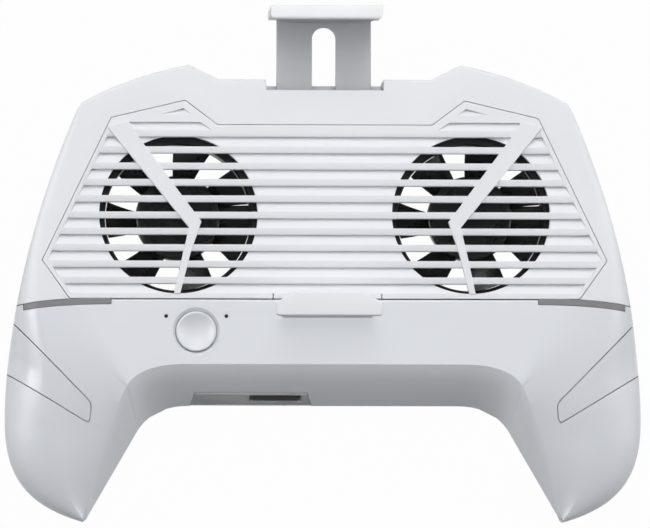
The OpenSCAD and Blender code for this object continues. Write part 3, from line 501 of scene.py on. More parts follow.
def loft(name, rings):
    """Closed solid through rings with the same number of points."""
    count = len(rings[0])
    points = [p for ring in rings for p in ring]
    faces = []
    for i in range(len(rings) - 1):
        for j in range(count):
            a = i * count + j
            b = i * count + (j + 1) % count
            faces.append((a, b, b + count, a + count))
    faces.append(tuple(range(count)))
    faces.append(tuple(range(len(points) - count, len(points))))
    return mesh_object(name, points, faces)


def slab(name, outline, profile):
    """Solid from an outline inset by the first number of each profile pair at the height of the second."""
    return loft(name, [[(*p, z) for p in shifted(outline, inset)] for inset, z in profile])


def prism(name, outline, low, high):
    return loft(name, [[(*p, z) for p in outline] for z in (low, high)])


def prism_x(name, outline, low, high):
    """Prism along X from an outline in Y and Z."""
    return loft(name, [[(x, p.x, p.y) for p in outline] for x in (low, high)])


def turned(name, profile, centre, steps=TURN_STEPS):
    """Solid of revolution about Z from pairs of radius and height, which start and end on the axis."""
    points = [(centre.x, centre.y, profile[0][1]), (centre.x, centre.y, profile[-1][1])]
    rim = profile[1:-1]
    for k in range(steps):
        turn = 2 * math.pi * k / steps
        points += [(centre.x + r * math.cos(turn), centre.y + r * math.sin(turn), z) for r, z in rim]
    count = len(rim)
    faces = []
    for k in range(steps):
        here = 2 + k * count
        there = 2 + (k + 1) % steps * count
        faces.append((0, there, here))
        faces.append((1, here + count - 1, there + count - 1))
        faces += [(here + j, there + j, there + j + 1, here + j + 1) for j in range(count - 1)]
    return mesh_object(name, points, faces)


def rod(name, radius, low, high, centre, steps=TURN_STEPS):
    return turned(name, [(0, low), (radius, low), (radius, high), (0, high)], centre, steps)


def box(name, low, high):
    return prism(name, rectangle(low[0], low[1], high[0], high[1]), low[2], high[2])


def combined(target, tool, operation):
    """Applies a Boolean with a tool, which is then removed."""
    modifier = target.modifiers.new("combine", "BOOLEAN")
    modifier.object = tool
    modifier.operation = operation
    modifier.solver = "MANIFOLD"
    depsgraph = bpy.context.evaluated_depsgraph_get()
    result = bpy.data.meshes.new_from_object(target.evaluated_get(depsgraph))
    target.modifiers.clear()
    before = target.data
    target.data = result
    bpy.data.meshes.remove(before)
    bpy.data.meshes.remove(tool.data)
    return target


def cut(target, *tools):
    for tool in tools:
        combined(target, tool, "DIFFERENCE")
    return target


def kept(target, tool):
    return combined(target, tool, "INTERSECT")


def joined(target, *tools):
    for tool in tools:
        combined(target, tool, "UNION")
    return target


def copied(source, name):
    made = bpy.data.objects.new(name, source.data.copy())
    bpy.context.scene.collection.objects.link(made)
    return made


def smoothed(target, angle=SMOOTH_ANGLE):
    """Smooth shading that stops at edges sharper than the angle."""
    target.data.polygons.foreach_set("use_smooth", [True] * len(target.data.polygons))
    target.data.set_sharp_from_angle(angle=math.radians(angle))
    return target


def placed(piece, body, slot, finish, *replaced):
    """Gives a piece its finish, its body and the nodes that it stands for."""
    piece.data.materials.clear()
    piece.data.materials.append(finish.material)
    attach(piece, body)
    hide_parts(*replaced)
    return piece


# Materials


class Finish:
    """Node-based surface with mottled colour, uneven gloss and a moulded grain."""

    NOISE_LOW = 0.3
    NOISE_HIGH = 0.7
    LEAST_ROUGHNESS = 0.02
    COARSE_DETAIL = 3.0
    GRAIN_DETAIL = 2.0
    GRAIN_STRENGTH = 0.5
    STRIPE_STRENGTH = 0.6
    STRIPE_WAVER = 0.6
    WAVES_PER_UNIT = 20
    BEVEL_SAMPLES = 6

    def __init__(self, name, colour, roughness, metallic=0.0):
        self.material = bpy.data.materials.new(name)
        self.material.use_nodes = True
        self.tree = self.material.node_tree
        self.shader = self.tree.nodes["Principled BSDF"]
        self.shader.inputs["Metallic"].default_value = metallic
        self.place = self.node("ShaderNodeTexCoord").outputs["Object"]
        self.normal = None
        self.colour = colour
        self.roughness = roughness

    def node(self, kind, **values):
        made = self.tree.nodes.new(kind)
        for key, value in values.items():
            made.inputs[key].default_value = value
        return made

    def link(self, source, target):
        self.tree.links.new(source, target)

    def noise(self, size, detail=COARSE_DETAIL):
        """Noise whose blotches are about this many millimetres across."""
        made = self.node("ShaderNodeTexNoise", Scale=1 / (size * MM), Detail=detail)
        self.link(self.place, made.inputs["Vector"])
        return made.outputs["Fac"]

    def mottle(self, size, amount):
        """Colour that drifts by a share of itself."""
        ramp = self.tree.nodes.new("ShaderNodeValToRGB")
        low, high = ramp.color_ramp.elements
        low.position = self.NOISE_LOW
        high.position = self.NOISE_HIGH
        low.color = (*[c * (1 - amount) for c in self.colour], 1)
        high.color = (*[min(1, c * (1 + amount)) for c in self.colour], 1)
        self.link(self.noise(size), ramp.inputs["Fac"])
        self.link(ramp.outputs["Color"], self.shader.inputs["Base Color"])
        return self

    def uneven(self, size, amount):
        """Roughness that drifts either way."""
        spread = self.node("ShaderNodeMapRange")
        spread.inputs["From Min"].default_value = self.NOISE_LOW
        spread.inputs["From Max"].default_value = self.NOISE_HIGH
        spread.inputs["To Min"].default_value = max(self.LEAST_ROUGHNESS, self.roughness - amount)
        spread.inputs["To Max"].default_value = self.roughness + amount
        self.link(self.noise(size), spread.inputs["Value"])
        self.link(spread.outputs["Result"], self.shader.inputs["Roughness"])
        return self

    def rounded(self, radius):
        """Softens the shading of edges."""
        bevel = self.node("ShaderNodeBevel", Radius=radius * MM)
        bevel.samples = self.BEVEL_SAMPLES
        self.normal = bevel.outputs["Normal"]
        return self

    def relief(self, height, strength, depth):
        """Adds a bump to what shapes the normal so far."""
        bump = self.node("ShaderNodeBump", Strength=strength, Distance=depth * MM)
        self.link(height, bump.inputs["Height"])
        if self.normal:
            self.link(self.normal, bump.inputs["Normal"])
        self.link(bump.outputs["Normal"], self.shader.inputs["Normal"])
        return self

    def grain(self, size, depth):
        """Fine relief of the mould."""
        return self.relief(self.noise(size, self.GRAIN_DETAIL), self.GRAIN_STRENGTH, depth)

    def stripes(self, size, depth, direction="Z"):
        """Fine parallel lines, as of brushing or of wound wire."""
        scale = 1 / (size * MM) / self.WAVES_PER_UNIT
        wave = self.node("ShaderNodeTexWave", Scale=scale, Distortion=self.STRIPE_WAVER)
        wave.bands_direction = direction
        self.link(self.place, wave.inputs["Vector"])
        return self.relief(wave.outputs["Fac"], self.STRIPE_STRENGTH, depth)

    def coated(self, weight, roughness):
        self.shader.inputs["Coat Weight"].default_value = weight
        self.shader.inputs["Coat Roughness"].default_value = roughness
        return self


bezel_white = Finish("bezel_white", (0.792, 0.806, 0.84), 0.5)
bezel_white.mottle(30, 0.012).uneven(12, 0.05).rounded(0.18).grain(0.16, 0.012)
shell_white = Finish("shell_white", (0.728, 0.75, 0.79), 0.34)
shell_white.mottle(40, 0.014).uneven(18, 0.04).rounded(0.18).grain(0.3, 0.006).coated(0.45, 0.34)
inlay_white = Finish("inlay_white", (0.728, 0.75, 0.79), 0.2)
inlay_white.mottle(25, 0.01).uneven(10, 0.03).rounded(0.18).grain(0.5, 0.003).coated(0.45, 0.3)
# Clamp plate: a grey darker than the clamp's white plastic. This is painted shade for the shade that the
# upper jaw casts on the plate.
plate_grey_painted_shade = Finish("plate_grey_painted_shade", (0.56, 0.565, 0.585), 0.45)
plate_grey_painted_shade.mottle(20, 0.012).uneven(12, 0.05).rounded(0.15).grain(0.16, 0.012)
# Clamp hook: the bezel's plastic made lighter. This is a painted highlight for the light that falls on the
# jaw's lip.
jaw_white_painted_highlight = Finish("jaw_white_painted_highlight", (0.88, 0.885, 0.895), 0.42)
jaw_white_painted_highlight.mottle(20, 0.01).uneven(10, 0.05).rounded(0.15).grain(0.16, 0.01)
port_white = Finish("port_white", (0.78, 0.79, 0.815), 0.6)
port_white.mottle(10, 0.014).uneven(8, 0.05).rounded(0.1).grain(0.2, 0.008)
# USB port: near-black for its dark insulator. Over the whole metal port, the same colour is painted shade for
# the inside of its mouth.
port_dark_and_painted_shade = Finish("port_dark_and_painted_shade", (0.035, 0.035, 0.037), 0.5)
port_dark_and_painted_shade.mottle(2, 0.1).uneven(3, 0.08).grain(0.2, 0.01)
strip_grey = Finish("strip_grey", (0.22, 0.222, 0.235), 0.5)
strip_grey.mottle(2, 0.03).uneven(4, 0.05).rounded(0.12).grain(0.12, 0.008)
fan_black = Finish("fan_black", (0.014, 0.014, 0.016), 0.42)
fan_black.mottle(6, 0.15).uneven(5, 0.08).rounded(0.15).grain(0.2, 0.01)
rotor_black = Finish("rotor_black", (0.018, 0.018, 0.02), 0.3)
rotor_black.mottle(8, 0.15).uneven(6, 0.08).rounded(0.1).grain(0.35, 0.006)
pad_grey = Finish("pad_grey", (0.5, 0.51, 0.53), 0.75)
pad_grey.mottle(4, 0.05).uneven(3, 0.06).grain(0.25, 0.03)
steel = Finish("steel", (0.6, 0.6, 0.62), 0.3, 1.0)
steel.mottle(2, 0.05).uneven(2, 0.08).grain(0.15, 0.006)
copper = Finish("copper", (0.72, 0.33, 0.16), 0.3, 1.0)
copper.mottle(1.5, 0.1).uneven(2, 0.06).stripes(0.25, 0.08)
brass = Finish("brass", (0.72, 0.52, 0.22), 0.32, 1.0)
brass.mottle(2, 0.06).uneven(2, 0.06).grain(0.1, 0.008)
magnet_dark = Finish("magnet_dark", (0.05, 0.05, 0.052), 0.6)
magnet_dark.mottle(1.5, 0.12).uneven(2, 0.08).grain(0.08, 0.02)
board_green = Finish("board_green", (0.03, 0.16, 0.07), 0.35)
board_green.mottle(1.2, 0.25).uneven(2, 0.1).stripes(0.8, 0.02, "X")
cell_silver = Finish("cell_silver", (0.42, 0.43, 0.46), 0.36, 0.6)
cell_silver.mottle(6, 0.06).uneven(4, 0.08).grain(1.5, 0.05)
light_pipe = Finish("light_pipe", (0.02, 0.02, 0.022), 0.15)
light_pipe.mottle(0.4, 0.2).uneven(0.5, 0.04).grain(0.3, 0.004)
lead_black = Finish("lead_black", (0.02, 0.02, 0.021), 0.5)
lead_black.mottle(2, 0.15).uneven(1, 0.08).grain(0.2, 0.01)
lead_red = Finish("lead_red", (0.42, 0.03, 0.02), 0.45)
lead_red.mottle(2, 0.1).uneven(1, 0.08).grain(0.2, 0.01)


# Shells


def front_solid(name, inset, low_z, last):
    half = [front_section(t, inset, low_z) for t in stations(0, last)]
    mirrored = [[(-x, y, z) for x, y, z in ring] for ring in reversed(half[1:])]
    return loft(name, mirrored + half)


def front_stretch(name, side, run, inset, low_z):
    """Stretch of the front half on one side, between two stations."""
    rings = [front_section(t, inset, low_z) for t in stations(*run)]
    return loft(name, [[(side * x, y, z) for x, y, z in ring] for ring in rings])


def region(name, points):
    """Prism over an outline, lower and higher than the shells."""
    return prism(name, turned_left(points), REGION_LOW, REGION_HIGH)


def bezel_region():
    edge = trim_edge(TRIM_H / 2 + SEAM_GAP)
    seam = SEAM_Y + SEAM_GAP
    start = [flat(0, seam), flat(TRIM_IN.x, seam)]
    return both_sides(start + edge + [flat(FAR, edge[-1].y), flat(FAR, FAR), flat(0, FAR)])


def lower_region():
    edge = trim_edge(-TRIM_H / 2 - SEAM_GAP, TRIM_SHARE)
    past = [trim_line(u) + flat(SEAM_GAP, TRIM_H / 2 - SEAM_GAP) for u in (1, TRIM_SHARE)]
    seam = SEAM_Y - SEAM_GAP
    inner_x = TRIM_IN.x - SEAM_GAP
    start = [flat(0, -FAR), flat(FAR, -FAR), flat(FAR, past[0].y), *past, flat(past[1].x, edge[-1].y)]
    return both_sides(start + edge[-2::-1] + [flat(inner_x, edge[0].y), flat(inner_x, seam), flat(0, seam)])


def trim_region(side):
    points = trim_edge(-TRIM_H / 2, TRIM_SHARE) + trim_edge(TRIM_H / 2, TRIM_SHARE)[::-1]
    return [flat(side * p.x, p.y) for p in points]


def inlay_region(side, shrink):
    points = filleted(shifted(list(INLAY), shrink), INLAY_R)
    return [flat(side * p.x, p.y) for p in points]


def panel_outline(grow):
    """Outline of the louvre panel, with softened corners."""
    low_y = SEAM_Y + 0.1
    half = [
        flat(0, PANEL_TOP_Y), flat(29.6, PANEL_TOP_Y), flat(38.5, PANEL_TOP_Y + 6.7),
        flat(CORNER_X - 9.4, PANEL_TOP_Y + 1.9), flat(HALF_W - 10.2, 0.55), flat(HALF_W - 17.3, low_y + 0.5),
        flat(HALF_W - 18, low_y), flat(0, low_y),
    ]
    return shifted(both_sides(half), -grow)


def port_cut(grow):
    """Wedge that the port plate sits in."""
    wedge = prism_x("port_wedge", [
        PORT_HIGH + flat(-PORT_CUT_OUT, PORT_CUT_RISE + grow), PORT_HIGH + flat(PORT_PLATE_T + grow, grow),
        PORT_LOW + flat(PORT_PLATE_T + grow, -grow), PORT_LOW + flat(-PORT_CUT_OUT, -PAST - grow),
    ], -FAR, FAR)
    low_half = PORT_LOW_HALF + grow
    top_half = PORT_TOP_HALF + grow
    low_z = PORT_LOW.y - 2 * PAST
    top_z = PORT_HIGH.y + PORT_CUT_RISE + PAST
    face = [
        (PORT_MID_X - low_half, low_z), (PORT_MID_X + low_half, low_z),
        (PORT_MID_X + top_half, top_z), (PORT_MID_X - top_half, top_z),
    ]
    across = loft("port_across", [[(x, y, z) for x, z in face] for y in (-FAR, 0)])
    return kept(wedge, across)


def front_skin():
    """Hollow front half, which both front shells are cut from."""
    return cut(
        front_solid("skin", 0, PARTING_Z, TIP_STATION),
        front_solid("hollow", WALL, PARTING_Z - PAST, HOLLOW_END))


def make_bezel(skin):
    bezel = kept(copied(skin, "upper_shell"), region("bezel_region", bezel_region()))
    cut(
        bezel,
        prism("panel_opening", turned_left(panel_outline(SEAM_GAP)), PARTING_Z - PAST, OVER_Z),
        box("notch", (-NOTCH_HALF, NOTCH_Y, PARTING_Z - PAST), (NOTCH_HALF, NOTCH_END_Y, OVER_Z)))
    return placed(smoothed(bezel), "housing", "bezel_white", bezel_white, "front_bezel")


def seam_bevel():
    """Cutter that rounds the lower shell's edge along the seam, between the strips."""
    edge_y = SEAM_Y - SEAM_GAP
    outline = [
        flat(edge_y + SEAM_BEVEL, FRONT_Z + SEAM_BEVEL),
        flat(edge_y + SEAM_BEVEL, FRONT_Z - SEAM_BEVEL),
    ]
    for k in range(CURVE_STEPS + 1):
        turn = math.radians(90 * k / CURVE_STEPS)
        y = edge_y - SEAM_BEVEL + SEAM_BEVEL * math.cos(turn)
        outline.append(flat(y, FRONT_Z - SEAM_BEVEL + SEAM_BEVEL * math.sin(turn)))
    outline.append(flat(edge_y - SEAM_BEVEL, FRONT_Z + SEAM_BEVEL))
    half = TRIM_IN.x - SEAM_GAP
    return prism_x("seam_bevel", outline, -half, half)


def jaw_notch():
    """Cutter for the opening that the lower jaw's neck stands in."""
    half = LOW_NECK_HALF + JAW_PLAY
    low = (LOW_JAW_X - half, LOW_WALL_Y - JAW_PLAY, SKIN_Z - PAST)
    return box("jaw_notch", low, (LOW_JAW_X + half, 0, OVER_Z))


def button_hole():
    """Cutter for the button's hole and the cone round its mouth."""
    hole_r = BUTTON_R + BUTTON_GAP
    profile = [
        (0, SKIN_Z - PAST), (hole_r, SKIN_Z - PAST), (hole_r, FRONT_Z - BUTTON_CONE),
        (hole_r + BUTTON_CONE + PAST, OVER_Z), (0, OVER_Z),
    ]
    return turned("button_hole", profile, BUTTON)


def make_lower_shell(skin):
    shell = kept(copied(skin, "lower_shell"), region("lower_region", lower_region()))
    for side in SIDES:
        pocket = region("inlay_pocket", inlay_region(side, 0))
        floor = front_stretch("inlay_floor", side, INLAY_STATIONS, INLAY_T, PARTING_Z - 2 * PAST)
        cut(shell, cut(pocket, floor))
        light = BUTTON + flat(side * LED_SPACING / 2, LED_Y - BUTTON.y)
        cut(shell, rod("light_hole", LED_HOLE_R, LED_HOLE_Z, OVER_Z, light, LIGHT_STEPS))
    cut(shell, seam_bevel(), jaw_notch(), button_hole(), port_cut(PORT_GAP))
    return placed(smoothed(shell, angle=18), "housing", "shell_white", shell_white, "lower_front_shell")


def make_trim(side, name):
    strip = kept(
        front_stretch("seam_strip_" + name, side, TRIM_STATIONS, 0, PARTING_Z),
        region("trim_region", trim_region(side)))
    cut(strip, front_stretch("trim_hollow", side, TRIM_STATIONS, WALL, PARTING_Z - PAST))
    return placed(smoothed(strip), "housing", "strip_grey", strip_grey, name + "_trim")


def make_inlay(side, name):
    inlay = kept(
        front_stretch("inlay_panel_" + name, side, INLAY_STATIONS, 0, PARTING_Z),
        region("inlay_region", inlay_region(side, INLAY_GAP)))
    back = front_stretch("inlay_back", side, INLAY_STATIONS, INLAY_T - INLAY_PLAY, PARTING_Z - 2 * PAST)
    cut(inlay, back)
    return placed(smoothed(inlay), "housing", "shell_white", inlay_white, name + "_grip_inlay")


# Louvre panel


def groove(y):
    """Bevel of a slat and the sloped groove below it, deepest under the slat and flush at the next one."""
    next_y = y - SLAT_PITCH + SLAT_H
    return prism_x("groove", [
        flat(y + 2 * SLAT_BEVEL_H, OVER_Z), flat(y + 2 * SLAT_BEVEL_H, FRONT_Z + SLAT_BEVEL_D),
        flat(y, FRONT_Z - SLAT_BEVEL_D), flat(y, FRONT_Z - GROOVE_D), flat(next_y, FRONT_Z),
        flat(next_y, OVER_Z),
    ], -FAR, FAR)


def sloped(side, outline, high_y, low_y):
    """Recess with this outline that is deepest along its upper edge and flush below."""
    ramp = prism_x("ramp", [
        flat(high_y + PAST, OVER_Z), flat(high_y + PAST, FRONT_Z - RECESS_D),
        flat(high_y, FRONT_Z - RECESS_D), flat(low_y, FRONT_Z), flat(low_y, OVER_Z),
    ], -FAR, FAR)
    points = turned_left([flat(side * (FAN_X + x), y) for x, y in outline])
    return kept(ramp, prism("recess", points, FRONT_Z - 3 * PAST, FRONT_Z + 3 * PAST))


def bar(side):
    """Diagonal bar over a fan, with its bend."""
    points = [
        (19.6, 37.3), (-2.9, 9.6), (-1.2, 2.45), (1.2, -8.6), (-0.5, -8.6),
        (-3.3, 2.45), (-6.3, 11.2), (11.1, 34.6), (14.2, 38.8),
    ]
    outline = turned_left([flat(side * (FAN_X + x), y) for x, y in points])
    return prism("bar", outline, FRONT_Z - BAR_T, FRONT_Z + BAR_RISE)


def slat_y(k):
    """Lower edge of a slat."""
    return FIRST_SLAT_Y - k * SLAT_PITCH


def cut_grooves(panel):
    for k in range(SLAT_COUNT):
        inside = turned_left(panel_outline(-PANEL_RIM))
        cut(panel, kept(groove(slat_y(k)), prism("panel_inside", inside, PANEL_Z, FRONT_Z + 2 * PAST)))


def cut_vent(panel, side):
    """Opens the gaps between the slats in front of a fan."""
    for k in range(SLAT_COUNT):
        y = slat_y(k)
        opening = rod("vent", VENT_R, PANEL_Z - PAST, OVER_Z, flat(side * FAN_X, VENT_Y), VENT_STEPS)
        gap = box("gap", (-FAR, y - SLAT_PITCH + SLAT_H, PANEL_Z - 2 * PAST), (FAR, y, FRONT_Z + 2 * PAST))
        cut(panel, kept(opening, gap))


def cut_recesses(panel, side):
    """Sinks the field above the first slat and the small arrow over it."""
    high_y = PANEL_TOP_Y + 0.7
    low_y = FIRST_SLAT_Y + SLAT_H
    arrow_low_y = high_y + 2.1
    arrow_high_y = high_y + 3.8
    field = [(13.6, high_y), (-6.1, high_y), (-9.1, low_y), (12, low_y)]
    arrow = [(4.8, arrow_low_y), (-1.4, arrow_high_y), (-3.6, arrow_low_y)]
    cut(panel, sloped(side, field, high_y, low_y), sloped(side, arrow, arrow_high_y, arrow_low_y))


def cut_slit(panel, side):
    """Cuts a slit beside the tab over the lower jaw."""
    x = LOW_JAW_X + side * TAB_HALF
    low = (x - TAB_SLIT_W / 2, SEAM_Y - PAST, PANEL_Z - PAST)
    cut(panel, box("slit", low, (x + TAB_SLIT_W / 2, SEAM_Y + TAB_SLIT_H, OVER_Z)))


def make_panel():
    edge = 0.3 * PANEL_EDGE
    profile = [(0, PANEL_Z), (0, FRONT_Z - PANEL_EDGE), (edge, FRONT_Z - edge), (PANEL_EDGE, FRONT_Z)]
    panel = slab("slatted_panel", panel_outline(0), profile)
    cut_grooves(panel)
    for side in SIDES:
        cut_vent(panel, side)
        cut_recesses(panel, side)
        cut_slit(panel, side)
    joined(panel, *[bar(side) for side in SIDES])
    return placed(smoothed(panel, angle=20), "housing", "bezel_white", bezel_white, "louvre_panel")


# Clamp, jaws and button


def rounding(low, high, radius, steps=5):
    """Profile of insets and heights with both edges rounded."""
    below = [(radius * (1 - math.sin(a)), low + radius * (1 - math.cos(a)))
             for a in (math.radians(90 * k / steps) for k in range(steps + 1))]
    above = [(inset, low + high - z) for inset, z in reversed(below)]
    return below + above


def clamp_slot():
    """Outline of the plate's slot, with round ends."""
    half = SLOT_W / 2
    outline = []
    for centre_y, first in ((SLOT_TOP_Y - half, 0), (SLOT_LOW_Y + half, 180)):
        for k in range(SLOT_STEPS + 1):
            turn = math.radians(first + 180 * k / SLOT_STEPS)
            outline.append(flat(half * math.cos(turn), centre_y + half * math.sin(turn)))
    return outline


def upper_hook():
    """Wall that stands on the plate, and its lip with the corners cut back."""
    lip_y = JAW_TOP_Y - LIP_REACH
    wall_y = JAW_TOP_Y - JAW_WALL
    outline = [
        flat(JAW_TOP_Y, PLATE_Z), flat(JAW_TOP_Y, JAW_Z), flat(lip_y, JAW_Z), flat(lip_y, JAW_Z - LIP_T),
        flat(wall_y, JAW_Z - LIP_T), flat(wall_y, PLATE_Z),
    ]
    ends = [(x - JAW_W / 2, inset) for x, inset in HOOK_END]
    ends += [(-x, inset) for x, inset in reversed(ends)]
    profile = filleted(turned_left(outline), HOOK_R)
    hook = loft("hook", [[(x, p.x, p.y) for p in shifted(profile, inset)] for x, inset in ends])
    for side in SIDES:
        corner = [flat(side * (JAW_W / 2 + x), lip_y + y) for x, y in LIP_CORNER]
        low = JAW_Z - LIP_T - LIP_CORNER_PAST
        cut(hook, prism("lip_corner", turned_left(corner), low, JAW_Z + PAST))
    return hook


def make_clamp():
    half = PLATE_W / 2
    sheet = filleted(rectangle(-half, PLATE_LOW_Y, half, JAW_TOP_Y - JAW_WALL / 2), SHEET_CORNER_R)
    plate_top = PLATE_Z + PLATE_T
    plate = slab("clamp_slide_plate", sheet, rounding(PLATE_Z, plate_top, SHEET_EDGE_R, steps=3))
    cut(plate, prism("slot", clamp_slot(), PLATE_Z - PAST, plate_top + PAST))
    # The clamp's white is lighter than the bezel's, which is a painted highlight on the jaw.
    clamp = placed(smoothed(joined(plate, upper_hook())), "clamp", "bezel_white", jaw_white_painted_highlight, "clamp_plate")
    # The plate's faces below the hook's wall take the darker grey, which is painted shade from the jaw above.
    # The hook keeps the lighter white.
    clamp.data.materials.append(plate_grey_painted_shade.material)
    highest = (plate_top + JAW_PLAY) * MM
    wall_y = (JAW_TOP_Y - JAW_WALL) * MM
    for face in clamp.data.polygons:
        face.material_index = int(face.center.z < highest and face.center.y < wall_y)
    return clamp


def low_lip_outline():
    slope_x, slope_y = LOW_LIP_SLOPE
    tip_half = LOW_JAW_HALF - slope_x
    corners = [
        flat(-tip_half, LOW_LIP_Y), flat(-LOW_JAW_HALF, LOW_LIP_Y - slope_y), flat(-LOW_JAW_HALF, LOW_JAW_Y),
        flat(LOW_JAW_HALF, LOW_JAW_Y), flat(LOW_JAW_HALF, LOW_LIP_Y - slope_y), flat(tip_half, LOW_LIP_Y),
    ]
    return [p + flat(LOW_JAW_X, 0) for p in filleted(turned_left(corners), LOW_LIP_R)]


def make_lower_jaw():
    lip = slab("lower_hook", low_lip_outline(), rounding(JAW_Z - LIP_T, JAW_Z, LOW_LIP_EDGE_R))
    neck = rectangle(
        LOW_JAW_X - LOW_NECK_HALF, LOW_WALL_Y, LOW_JAW_X + LOW_NECK_HALF, LOW_WALL_Y + JAW_WALL)
    flange_half = LOW_JAW_HALF + LOW_FLANGE_PAST
    flange = rectangle(
        LOW_JAW_X - flange_half, LOW_WALL_Y - LOW_FLANGE_DOWN,
        LOW_JAW_X + flange_half, LOW_WALL_Y + LOW_FLANGE_UP)
    flange_low = SKIN_Z - LOW_FLANGE_T
    joined(
        lip,
        prism("neck", filleted(neck, LOW_NECK_R), flange_low, JAW_Z - LIP_T / 2),
        slab("flange", filleted(flange, SHEET_CORNER_R), rounding(flange_low, SKIN_Z, SHEET_EDGE_R, steps=3)))
    lip.visible_shadow = False
    return placed(smoothed(lip), "housing", "bezel_white", bezel_white, "lower_jaw")


def make_pad(name, body, way):
    """Soft pad in the place of its node. Its crowned, ribbed face looks down Y, or up it with way -1."""
    low, high = (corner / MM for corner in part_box(name))
    back_y = high.y if way > 0 else low.y
    mid_z = (low.z + high.z) / 2
    rings = []
    for k in range(PAD_STEPS + 1):
        u = k / PAD_STEPS
        end = math.sqrt(min(1, PAD_END_PARTS * min(u, 1 - u)))
        ribs = PAD_RIB_D * (1 + math.cos(2 * math.pi * PAD_RIBS * u)) / 2
        thick = (high.y - low.y) * mix(PAD_END_T, 1, end) - ribs
        tall = (high.z - low.z) / 2 * mix(PAD_END_H, 1, end)
        ring = []
        for j in range(PAD_ARC_STEPS + 1):
            turn = math.radians(180 * j / PAD_ARC_STEPS)
            crown = math.sqrt(math.sin(turn))
            ring.append((mix(low.x, high.x, u), back_y - way * thick * crown, mid_z - tall * math.cos(turn)))
        rings.append(ring)
    pad = loft("soft_" + name, rings)
    placed(smoothed(pad, angle=60), body, "pad_grey", pad_grey, name)
    return pad


def make_button():
    top = FRONT_Z + BUTTON_RISE
    low = SKIN_Z - BUTTON_FLANGE_T
    wide = BUTTON_R + BUTTON_FLANGE_W
    stem_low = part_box("power_button")[0].z / MM
    profile = [
        (0, stem_low), (BUTTON_STEM_R - BUTTON_STEM_EDGE, stem_low),
        (BUTTON_STEM_R, stem_low + BUTTON_STEM_EDGE), (BUTTON_STEM_R, low),
        (wide - BUTTON_FLANGE_R, low), (wide, low + BUTTON_FLANGE_R),
        (wide, SKIN_Z - BUTTON_FLANGE_R), (wide - BUTTON_FLANGE_R, SKIN_Z), (BUTTON_R, SKIN_Z),
    ]
    profile += [(BUTTON_R - inset, top - drop) for inset, drop in BUTTON_RIM]
    for k in range(DISH_STEPS + 1):
        u = 1 - k / DISH_STEPS
        profile.append(((BUTTON_R - BUTTON_RIM_W) * u, top - BUTTON_DISH * (1 - u * u)))
    button = turned("dished_button", profile, BUTTON)
    return placed(smoothed(button, angle=40), "button", "bezel_white", shell_white, "power_button")


# Fans


def blade():
    """One blade about the origin, from the hub out to its tip, thinner at its edges."""
    low_z = FAN_LOW_Z + BLADE_LOW
    rise = FAN_TOP_Z - BLADE_BELOW_TOP - low_z - BLADE_T
    rings = []
    for i in range(BLADE_STEPS_OUT + 1):
        u = i / BLADE_STEPS_OUT
        r = mix(HUB_R - BLADE_ROOT, BORE_R - TIP_GAP, u)
        lead = BLADE_START - BLADE_SWEEP * u
        upper = []
        lower = []
        for k in range(BLADE_STEPS_ACROSS + 1):
            v = k / BLADE_STEPS_ACROSS
            turn = math.radians(lead - BLADE_SPAN * v)
            z = low_z + rise * (1 - v - BLADE_SAG * v * (1 - v)) + BLADE_T / 2
            thin = BLADE_T / 2 * mix(BLADE_EDGE_SHARE, 1, math.sin(math.pi * mix(*BLADE_ARC, v)))
            upper.append((r * math.cos(turn), r * math.sin(turn), z + thin))
            lower.append((r * math.cos(turn), r * math.sin(turn), z - thin))
        rings.append(upper + lower[::-1])
    return loft("blade", rings)


def hub():
    """Cup over the motor, with a raised rim and a small boss in the middle."""
    low = FAN_LOW_Z + HUB_LOW
    high = FAN_TOP_Z - HUB_BELOW_TOP
    sunk = high - HUB_STEP
    inner_r = HUB_R - HUB_WALL
    rim_r = HUB_R - HUB_RIM_W
    profile = [
        (0, high - HUB_TOP_T), (inner_r, high - HUB_TOP_T), (inner_r, low), (HUB_R, low),
        (HUB_R, high - HUB_EDGE_R), (HUB_R - HUB_STEP, sunk), (HUB_R - HUB_EDGE_R, high),
        (rim_r + HUB_SLOPE, high), (rim_r, sunk), (HUB_BOSS_R, sunk),
        (HUB_BOSS_R - HUB_SLOPE, high - HUB_BOSS_DROP), (0, high - HUB_BOSS_DROP),
    ]
    return turned("rotor", profile, flat(0, 0))


def make_impellers():
    rotor = hub()
    for k in range(BLADE_COUNT):
        piece = blade()
        piece.data.transform(Matrix.Rotation(2 * math.pi * k / BLADE_COUNT, 4, "Z"))
        joined(rotor, piece)
    smoothed(rotor, angle=35)
    for side, name in SIDE_NAMES:
        piece = copied(rotor, name + "_rotor_blades")
        piece.data.transform(Matrix.Translation(Vector((side * FAN_X, FAN_Y, 0)) * MM))
        placed(piece, name + "_rotor", "rotor_black", rotor_black, name + "_fan_impeller")
    bpy.data.meshes.remove(rotor.data)


def screw_hole(x, y):
    """Cutter for the screw, and its sunk head, at one corner of a fan frame."""
    low = FAN_LOW_Z - PAST
    seat = FAN_TOP_Z - SCREW_HEAD_D
    high = FAN_TOP_Z + PAST
    profile = [
        (0, low), (SCREW_HOLE_R, low), (SCREW_HOLE_R, seat),
        (SCREW_HEAD_R, seat), (SCREW_HEAD_R, high), (0, high),
    ]
    return turned("hole", profile, flat(x, y) * FAN_HOLE_PITCH / 2, HOLE_STEPS)


def strut(turn, width):
    low = FAN_LOW_Z + STRUT_LIFT
    outline = rectangle(STRUT_IN_R, -width / 2, BORE_R + STRUT_BITE, width / 2)
    made = slab("strut", outline, rounding(low, low + STRUT_T, FAN_EDGE_R, steps=3))
    made.data.transform(Matrix.Rotation(math.radians(turn), 4, "Z"))
    return made


